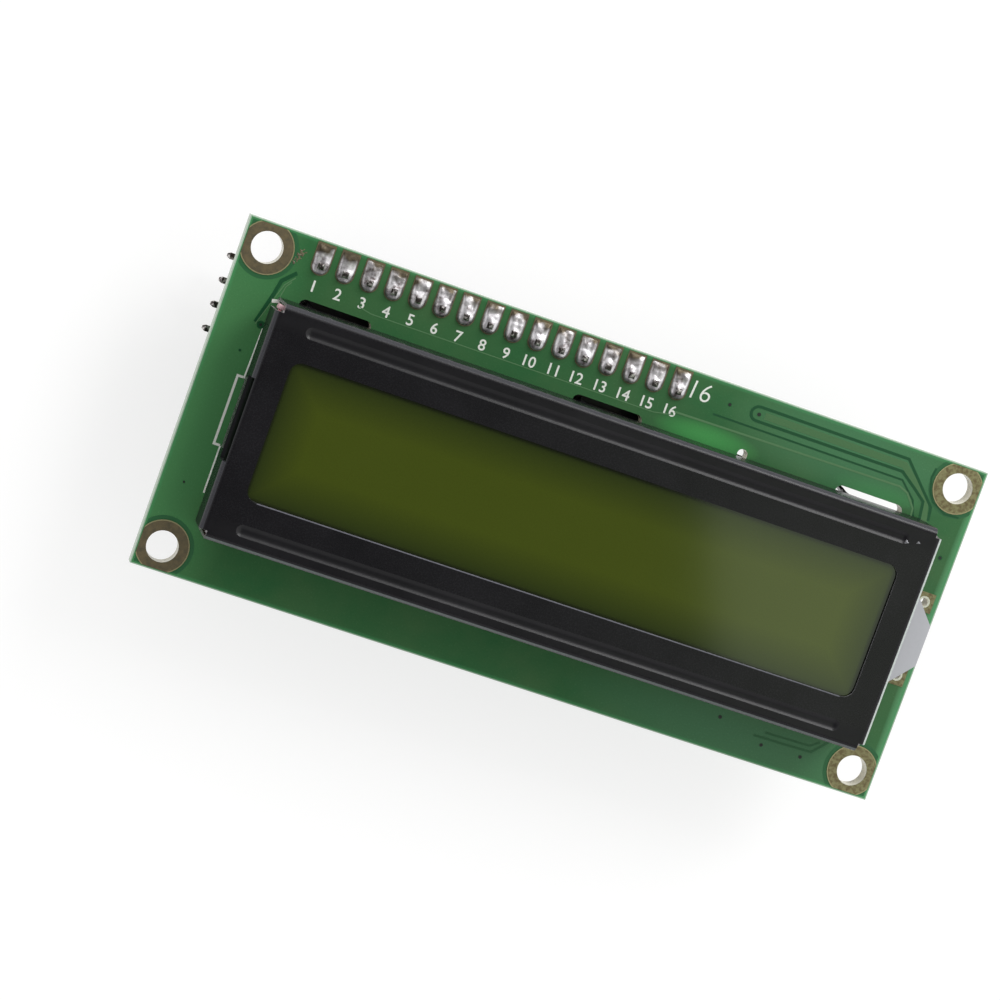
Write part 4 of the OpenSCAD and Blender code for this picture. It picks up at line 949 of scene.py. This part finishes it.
# Dark discs of painted shade stand for the insides of holes and slits.
HOLE_SHADE = plain("hole_shade", (20, 30, 22), 0.5, 5000, 0.3)
RIM_GOLD = plain("rim_gold", (160, 152, 114), 0.35, 6500, 0.4, metallic=0.4)
SPOTS = [(38.36, 8.22, 0.24), (-35.6, 8.2, 0.4), (11.72, 15.93, 0.2), (-36.7, 5.2, 0.14)]
FRONT_VIAS = [(14.95, 15.97, 0.2), (11.72, 15.93, 0.16), (38.36, 8.22, 0.14), (-35.6, 8.2, 0.15),
              (-37.6, -8.78, 0.12), (22.17, -14.46, 0.2), (27.33, -15.9, 0.19), (31.73, -15.84, 0.19)]
lay("front_halos", FAINT_GREEN, "board_green", add_clipped_ring, [(*spot, 2.7, 3.12, 0.3) for spot in MOUNTING_SPOTS],
    layer(FRONT_Z, TRACK, TRACK * 0.5))
lay("front_spots", GAP_GREEN, "board_green", add_disc, SPOTS, layer(FRONT_Z, TRACK, TRACK * 1.6))
lay("front_land_rims", RIM_GOLD, "plated_gold", add_clipped_ring,
    [(*spot, 2.58, 2.68, 0.22) for spot in MOUNTING_SPOTS], (land_top - 0.02 * MM, land_top + 0.01 * MM))
lay("front_vias", HOLE_SHADE, "board_green", add_disc, FRONT_VIAS, layer(FRONT_Z, 0, TRACK * 2.4), sides=14)

# %% Specks of flux beside pin 1
SPECK_COUNT = 30
random.seed(7)
specks = bmesh.new()
for _ in range(SPECK_COUNT):
    speck_y = random.uniform(14.9, 16.7)
    speck_x = random.gauss(-34.25 + 0.25 * (speck_y - 15.8), 0.14)
    place = at(speck_x, speck_y, FRONT_Z, (1.6, 0.8, 0.4), random.uniform(0, 3.1))
    size = random.uniform(0.05, 0.14) * MM
    bmesh.ops.create_icosphere(specks, subdivisions=1, radius=size, matrix=place)
end_piece(specks, "flux_specks", plain("flux_brown", (96, 90, 66), 0.3, 3000, 1.4))

# %% Dents in the bezel and bits at its corner
dents = bmesh.new()
for dent_x, dent_y, turn in [(32.05, 9.06, 0.5), (33.2, 9.4, 0.3)]:
    bmesh.ops.create_cone(dents, cap_ends=True, segments=3, radius1=1.0 * MM, radius2=0.2 * MM, depth=0.06 * MM,
                          matrix=at(dent_x, dent_y, BEZEL_HIGH[2], (0.45, 0.3, 1), turn))
# The grey of the dents is a painted highlight on their edges.
end_piece(dents, "bezel_dents", plain("dent_highlight_grey", (120, 120, 124), 0.35, 4000, 0.3, metallic=0.6))
rubber = bmesh.new()
add_plate(rubber, -34.95, 10.78, 0.85, 0.5, (4.6 * MM, 5.7 * MM), turn=-0.15)
bmesh.ops.bevel(rubber, geom=rubber.edges[:], offset=0.12 * MM, segments=3, affect="EDGES", profile=0.5, material=-1)
end_piece(rubber, "rubber_end", plain("rubber_pale", (196, 160, 166), 0.55, 3000, 0.3), 50)
lay("corner_print", INK_WHITE, "film_white", add_path, [([(-35.35, 10.75), (-34.6, 10.95)], 0.34)], FRONT_INK)

# %% Dark sheet on the left end of the cell, seen through the cut-out, that paints the shade there
CELL_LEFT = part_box("front_glass")[0][0]
SHADE_SHEET_HEIGHTS = (0.6 * MM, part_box("front_glass")[1][2])
# A black sheet of painted shade: the slot behind the cut-out is dark only from shade.
SHADE_SHEET_BLACK = plain("shade_sheet_black", (16, 16, 18), 0.85, 4000, 0.3, specular=0.1)
lay("cell_end_shade_sheet", SHADE_SHEET_BLACK, "epoxy_black", add_plate, [(CELL_LEFT / MM - 0.04, BEZEL_Y / MM, 0.06, 9.2)],
    SHADE_SHEET_HEIGHTS)

# %% Solder left in the holes beside the ear
lay("ear_hole_rims", TINNED, "tinned_metal", add_ring, [(38.4, y, 0.42, 0.62) for y in (3.42, -4.62)],
    (FRONT_Z, land_top + 0.02 * MM), sides=24)


# %% [markdown]
# ## The back of the main board
# The second module in the photograph shows its back. Its resist is paler there, with dark lines at the
# sides of every track, bright gold pads for parts that are not fitted, and white print. The same strips,
# frames and pads are laid on the back face, where outwards is down.

# %% Tracks and vias on the back
BACK_PATHS = [
    ([(-20.9, -17.0), (-33.6, -17.0), (-34.7, -16.55)], 0.12),
    ([(-20.9, -16.4), (-33.4, -16.4)], 0.12),
    ([(-20.9, -15.5), (-32.5, -15.4), (-35.12, -12.67), (-35.14, -8.38), (-34.2, -7.2)], 0.13),
    ([(-20.9, -14.9), (-32.35, -14.75), (-34.6, -12.2), (-34.65, -9.0), (-33.7, -8.1), (-30.0, -8.25),
      (-29.1, -8.0)], 0.13),
    ([(-22.4, -14.2), (-31.93, -14.15), (-33.97, -11.9), (-34.0, -9.6)], 0.13),
    ([(-36.05, -12.48), (-36.6, -10.6), (-36.0, -7.75), (-34.55, -6.75), (-34.2, -0.2), (-34.2, 9.0)], 0.14),
    ([(-35.4, -7.9), (-34.1, -6.4), (-33.75, -0.2), (-33.75, 8.4)], 0.12),
    ([(-22.7, -13.3), (-23.5, -11.9), (-23.6, -9.4), (-21.9, -8.2)], 0.12),
    ([(-24.0, -13.1), (-24.35, -11.6), (-24.4, -9.0), (-23.6, -7.9)], 0.12),
    ([(33.2, 0.8), (33.94, 0.84), (34.44, 1.3), (34.4, 4.06), (33.5, 4.8)], 0.3),
    ([(36.94, 1.7), (37.04, 3.02), (36.72, 4.3), (36.74, 10.0), (36.2, 11.6), (34.0, 13.1), (28.8, 13.4),
      (12.0, 13.4)], 0.3),
    ([(37.71, 4.9), (37.55, 10.5), (36.5, 12.4), (34.7, 13.7), (28.5, 14.1), (12.0, 14.1)], 0.24),
    ([(34.9, -16.8), (-20.0, -16.8)], 0.12),
    ([(23.0, -16.2), (24.3, -15.5), (25.0, -13.5), (25.3, -8.2), (24.6, -7.6)], 0.2),
    ([(22.3, -15.9), (23.4, -15.1), (24.2, -13.2), (24.4, -8.4), (20.6, -7.0), (20.4, 9.0)], 0.16),
    ([(27.9, -8.2), (33.4, -8.2), (34.0, -9.4)], 0.14),
    ([(9.2, 12.6), (11.0, 11.4), (18.6, 11.2), (19.6, 10.2), (19.6, -6.2)], 0.16),
    ([(8.8, 9.0), (8.8, 2.6), (9.6, 1.8)], 0.14),
    ([(-2.4, -6.4), (2.0, -6.4), (5.2, -4.4), (8.0, -4.4)], 0.14),
    ([(-2.6, -5.4), (1.4, -5.4), (3.4, -3.8)], 0.14),
    ([(-16.4, -6.4), (-19.0, -6.6), (-20.2, -8.0)], 0.14),
]
BACK_VIAS = [(33.25, -4.65), (38.44, 8.08), (36.24, 9.0), (33.04, 6.75), (31.85, -15.9), (27.4, -15.9), (29.2, -6.35),
             (22.24, -14.55), (23.48, -12.59), (22.12, -12.59), (23.31, -8.6), (-33.95, -8.95), (-34.12, -7.75),
             (-23.47, -12.6), (-22.21, -12.58), (-37.35, -9.13), (3.4, -3.4), (9.9, 1.4), (-20.5, -8.5)]
EMPTY_HOLE = (36.07, 0.6)
# The back holes are discs of painted shade in the vias and in the empty hole.
back_lines, back_hole_shade = bmesh.new(), bmesh.new()
for path, width in BACK_PATHS:
    add_path(back_lines, path, width, layer(BACK_Z, TRACK, TRACK))
for spot in BACK_VIAS:
    add_ring(back_lines, *spot, 0.36, 0.48, layer(BACK_Z, TRACK, TRACK * 1.4), sides=20)
    add_disc(back_hole_shade, *spot, 0.16, layer(BACK_Z, 0, TRACK * 2), sides=14)
for spot in MOUNTING_SPOTS:
    add_clipped_ring(back_lines, *spot, 2.72, 2.86, 0.3, layer(BACK_Z, TRACK, TRACK * 1.8))
add_disc(back_hole_shade, *EMPTY_HOLE, 0.38, layer(BACK_Z, 0, TRACK * 6), sides=18)
end_piece(back_lines, "back_lines", plain("back_line_green", (44, 86, 58), 0.4, 5200, 0.3, specular=0.3))
end_piece(back_hole_shade, "back_vias", HOLE_SHADE)

# %% Bare gold pads on the back
GOLD = layer(BACK_Z, TRACK, TRACK * 3)
SPLIT_PADS = [(29.6, 5.45), (27.1, 5.4)]
pads = bmesh.new()
for pad in [(x, y, 1.65, 1.8) for y in (-6.42, -2.9) for x in (31.3, 27.97)] + [
        (x, -6.27, 1.3, 1.4) for x in (-21.18, -23.51)]:
    add_plate(pads, *pad, GOLD)
for pad_x, count in ((32.1, 3), (26.35, 4)):
    for step in range(count):
        add_pad(pads, pad_x, -0.35 + 1.28 * step, 1.8, 0.62, GOLD)
for spot in SPLIT_PADS:
    add_disc(pads, *spot, 0.98, GOLD, sides=28)
for spot in [(37.64, -9.89), (-37.9, 10.32)]:
    add_disc(pads, *spot, 0.5, GOLD, sides=24)
add_ring(pads, 35.97, -2.01, 0.45, 0.98, GOLD, sides=32)
add_ring(pads, *EMPTY_HOLE, 0.38, 0.95, GOLD, sides=32)
# The pale gold of the back pads is a painted reflection of bright surroundings.
REFLECTING_GOLD = plain("reflecting_gold", (238, 214, 172), 0.4, 6500, 0.35, metallic=0.35, bump=0.12)
end_piece(pads, "back_pads", REFLECTING_GOLD)
# Slits of painted shade across the split pads.
lay("pad_slits", HOLE_SHADE, "board_green", add_path,
    [([(x - 0.1, y - 0.99), (x + 0.1, y + 0.99)], 0.14) for x, y in SPLIT_PADS], layer(BACK_Z, -TRACK * 2, TRACK * 4))

# %% Solder on the closed pad, and the tinned last pad
blob = bmesh.new()
bmesh.ops.create_uvsphere(blob, u_segments=28, v_segments=14, radius=0.95 * MM,
                          matrix=at(32.0, 5.45, BACK_Z, (1, 1, 0.42)))
for vert in blob.verts:
    vert.co.z = min(vert.co.z, BACK_Z + TRACK)
    if vert.co.z < BACK_Z:
        vert.co.z -= 0.03 * MM * noise.noise(vert.co / MM * 2.1)
add_pad(blob, 32.15, 3.5, 1.8, 0.62, layer(BACK_Z, TRACK, TRACK * 4))
blob.verts.layers.float.new("bare")
end_piece(blob, "back_solder_blob", SOLDER, 50)

# %% Print on the back
BACK_INK = layer(BACK_Z, INK, INK)
BACK_FRAMES = [(27.3, -7.62, 32.68, -4.68, 0.2), (27.3, -4.15, 32.68, -1.26, 0.2), (28.0, -0.76, 30.56, 4.1, 0.18),
               (-33.1, -7.75, -28.35, 5.35, 0.22), (-24.75, -7.35, -19.95, -2.82, 0.22)]
BACK_BARS = [(26.92, -6.15, 0.76, 2.94), (26.92, -2.705, 0.76, 2.89), (-22.35, -5.2, 4.35, 0.2)]
BACK_BARS += [(-30.72, -5.56 + 2.28 * step, 4.3, 0.2) for step in range(5)]
for plus_y in (-6.43, -2.94):
    BACK_BARS += [(24.95, plus_y, 1.3, 0.16), (24.95, plus_y - 0.37, 0.16, 0.57), (24.95, plus_y + 0.37, 0.16, 0.57)]
BACK_RINGS = [(32.02, 5.45, 1.24, 1.4), (29.6, 5.45, 1.14, 1.3), (27.1, 5.4, 1.14, 1.3)]
BACK_FIGURES = [("2", 34.4, -6.2), ("1", 34.2, -2.6), ("3", -21.4, -8.8), ("1", -26.5, -6.5), ("2", -26.5, -4.0),
                ("16", 37.9, -6.9), ("15", 38.1, 5.9), ("1", 34.4, 5.9), ("2", 30.7, 7.6), ("1", -34.9, 16.1)]
back_ink = bmesh.new()
for frame_sizes in BACK_FRAMES:
    add_frame(back_ink, *frame_sizes, BACK_INK)
for bar in BACK_BARS:
    add_plate(back_ink, *bar, BACK_INK)
for ring in BACK_RINGS:
    add_ring(back_ink, *ring, BACK_INK, sides=40)
for figures in BACK_FIGURES:
    add_number(back_ink, *figures, 1.45, BACK_Z)
end_piece(back_ink, "back_print", INK_WHITE)


# %% [markdown]
# ## The back of the adapter
# The black board has fine white print too: boxes for the trimmer and for three pairs of address pads, a
# line along the pin row and the numbers of the four bus pins. Its sixteen joints are round domes of
# solder, dull in places, each in a ring of bare glossy board. A dome starts as a sphere: its lower half is
# pressed flat, and its upper half is reshaped and roughened.

# %% Domes of solder on the pin row
DOME_RADIUS, DOME_HEIGHT = 0.84 * MM, 0.72 * MM


def add_dome(bm, x, y, floor_z, radius, height, seed):
    """Lumpy dome of solder on a face that looks down. Its place is in millimetres."""
    bare = bm.verts.layers.float["bare"]
    made = bmesh.ops.create_uvsphere(bm, u_segments=22, v_segments=14, radius=1.0)["verts"]
    shift = Vector((seed * 2.3, seed * 4.1, seed * 1.7))
    for vert in made:
        out = math.hypot(vert.co.x, vert.co.y)
        upper = vert.co.z > 1e-4
        lumps = noise.noise(Vector((vert.co.x, vert.co.y, 0)) * 1.4 + shift)
        reach = radius * (1 + 0.07 * noise.noise(Vector((math.atan2(vert.co.y, vert.co.x), seed * 3.3, 0))))
        rise = height * ((1 - out * out) ** 0.9) * (1 + 0.3 * lumps) if upper else -0.015 * MM
        vert.co = Vector((x * MM + vert.co.x * reach, y * MM + vert.co.y * reach, floor_z - rise))
        vert[bare] = max(0.0, 0.5 * out - 0.35) if upper else 0.0


rear_bm = bmesh.new()
rear_bm.verts.layers.float.new("bare")
for number, pin_x in enumerate(PIN_X):
    add_dome(rear_bm, pin_x, ROW_Y, ADAPTER_BACK_Z, DOME_RADIUS, DOME_HEIGHT, number + 1)
rear_joints = end_piece(rear_bm, "rear_joints", SOLDER, JOINT_SMOOTH)
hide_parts("rear_solder")

# %% Print and pads of the adapter
RING_BLACK = plain("ring_black", (22, 21, 24), 0.14, 5000, 0.3)
lay("adapter_rings", RING_BLACK, "adapter_black", add_ring, [(x, ROW_Y, 0.8, 1.1) for x in PIN_X],
    layer(ADAPTER_BACK_Z, TRACK, TRACK))

ADDRESS_X = (-21.4, -24.0, -26.35)
SILK = layer(ADAPTER_BACK_Z, INK, INK)
SILK_FRAMES = [(-27.85, 4.45, -20.1, 12.5, 0.16), (-33.15, 14.05, 7.4, 16.62, 0.16), (-17.3, 2.5, -9.5, 13.0, 0.14)]
SILK_FRAMES += [(x - 0.68, -0.95, x + 0.68, 2.05, 0.14) for x in ADDRESS_X]
SILK_FRAMES += [(x - half_x, y - half_y, x + half_x, y + half_y, 0.12) for x, y, half_x, half_y in [
    (-2.0, 11.8, 0.95, 1.75), (-2.0, 7.8, 0.95, 1.75), (2.2, 2.0, 1.75, 0.95), (-3.4, 0.6, 1.75, 0.95)]]
silk = bmesh.new()
for frame_sizes in SILK_FRAMES:
    add_frame(silk, *frame_sizes, SILK)
for index in range(4):
    add_number(silk, str(index + 1), -29.0, 9.3 - 3.81 + PITCH * index, 1.25, ADAPTER_BACK_Z)
for index, pad_x in enumerate(ADDRESS_X):
    add_number(silk, str(index), pad_x, -1.68, 0.95, ADAPTER_BACK_Z)
end_piece(silk, "adapter_print", INK_WHITE)
ADDRESS_GREY = plain("address_grey", (122, 122, 124), 0.4, 5000, 0.4, metallic=0.5)
lay("address_pads", ADDRESS_GREY, "solder", add_pad,
    [(x, y, 0.86, 0.76) for x in ADDRESS_X for y in (-0.08, 1.22)], layer(ADAPTER_BACK_Z, TRACK, TRACK * 3))


# %% [markdown]
# ## The studio
# The photograph has a pure white ground. The floor is a big plane well below the board, pale grey to
# lamps, with a little white of its own to the camera, so that it reads white and still keeps the
# object's soft shadow.

# %% Floor and sky
FLOOR_GREY, FLOOR_GLOW = 0.36, 0.68
FLOOR_HALF, FLOOR_DROP = 2.0, 2 * MM
WHITE = (1, 1, 1, 1)


def make_floor():
    material, tree, _ = new_material("studio_floor")
    tree.nodes.clear()
    paths = tree.nodes.new("ShaderNodeLightPath").outputs
    seen = math_node(tree, "MAXIMUM", paths["Is Camera Ray"], paths["Is Glossy Ray"])
    seen = math_node(tree, "MAXIMUM", seen, paths["Is Transmission Ray"])
    matt = new_node(tree, "BsdfDiffuse", {"Color": (FLOOR_GREY, FLOOR_GREY, FLOOR_GREY, 1)})
    glow = new_node(tree, "Emission", {"Color": WHITE, "Strength": math_node(tree, "MULTIPLY", seen, FLOOR_GLOW)})
    both = new_node(tree, "AddShader", {0: matt.outputs[0], 1: glow.outputs[0]})
    new_node(tree, "OutputMaterial", {"Surface": both.outputs[0]})
    return material


floor_bm = bmesh.new()
bmesh.ops.create_grid(floor_bm, x_segments=1, y_segments=1, size=FLOOR_HALF,
                      matrix=Matrix.Translation((0, 0, cad_box[0][2] - FLOOR_DROP)))
floor = to_object(floor_bm, "floor", make_floor())

SKY_TOP, SKY_RIM = 0.1, 1.12
SKY_HIGH, SKY_LOW = 0.96, 0.7
SKY_SIDE = Vector((0.4, 0.9, 0.0))
SKY_LEAN = 0.38


def make_sky():
    """World that is dim overhead and bright low down, and brighter towards the upper right of the picture."""
    sky = bpy.data.worlds.new("studio_sky")
    sky.use_nodes = True
    tree = sky.node_tree
    x, y, z = axes(tree)
    ramp = tree.nodes.new("ShaderNodeMapRange")
    ramp.interpolation_type = "SMOOTHSTEP"
    give(tree, ramp, {"Value": z, "From Min": SKY_LOW, "From Max": SKY_HIGH, "To Min": SKY_RIM, "To Max": SKY_TOP})
    along_x = math_node(tree, "MULTIPLY", x, SKY_SIDE.x * SKY_LEAN)
    along_y = math_node(tree, "MULTIPLY", y, SKY_SIDE.y * SKY_LEAN)
    lean = math_node(tree, "ADD", math_node(tree, "ADD", along_x, along_y), 1.0)
    strength = math_node(tree, "MULTIPLY", ramp.outputs["Result"], lean)
    give(tree, tree.nodes["Background"], {"Color": WHITE, "Strength": strength})
    return sky


bpy.context.scene.world = make_sky()


# %% [markdown]
# ## Lamps
# A soft box on the upper right models the folds and the solder, in the same direction in which the sky is
# brighter. A narrow one hangs where the window mirrors it, and makes the pale haze at the window's right.

# %% Soft boxes
def add_softbox(name, place, aim, width, depth, power, tint=(1, 1, 1)):
    lamp = bpy.data.lights.new(name, "AREA")
    lamp.shape = "RECTANGLE"
    lamp.size, lamp.size_y = width, depth
    lamp.energy = power
    lamp.color = tint
    holder = bpy.data.objects.new(name, lamp)
    holder.location = place
    holder.rotation_euler = (Vector(aim) - Vector(place)).to_track_quat("-Z", "Y").to_euler()
    bpy.context.scene.collection.objects.link(holder)
    return holder


add_softbox("main_softbox", (0.3, 0.5, 0.42), (0, 0, 0), 0.3, 0.3, 2.2)
haze = add_softbox("haze_softbox", (0.266, -0.06, 0.6), (0.266, -0.06, 0), 0.13, 0.3, 0.14, tint=(0.86, 1.0, 0.75))
haze.rotation_euler = (0, 0, math.radians(24))

bpy.context.scene.view_settings.view_transform = "Standard"

# %% [markdown]
# ## The camera
# The photograph looks down on the module from a little to the left and above. The four mounting holes,
# 75 by 31 mm apart, were lined up with their places in the photograph to find this place, turn and lens.

# %% Camera
camera_data = bpy.data.cameras.new("camera")
camera_data.sensor_width = 36.0
camera_data.lens = 114.669
camera_data.clip_start = 0.01
camera = bpy.data.objects.new("camera", camera_data)
camera.location = (-0.07741, 0.02995, 0.30765)
camera.rotation_euler = (-0.16734187, -0.17829837, 0.350885)
bpy.context.scene.collection.objects.link(camera)
bpy.context.scene.camera = camera
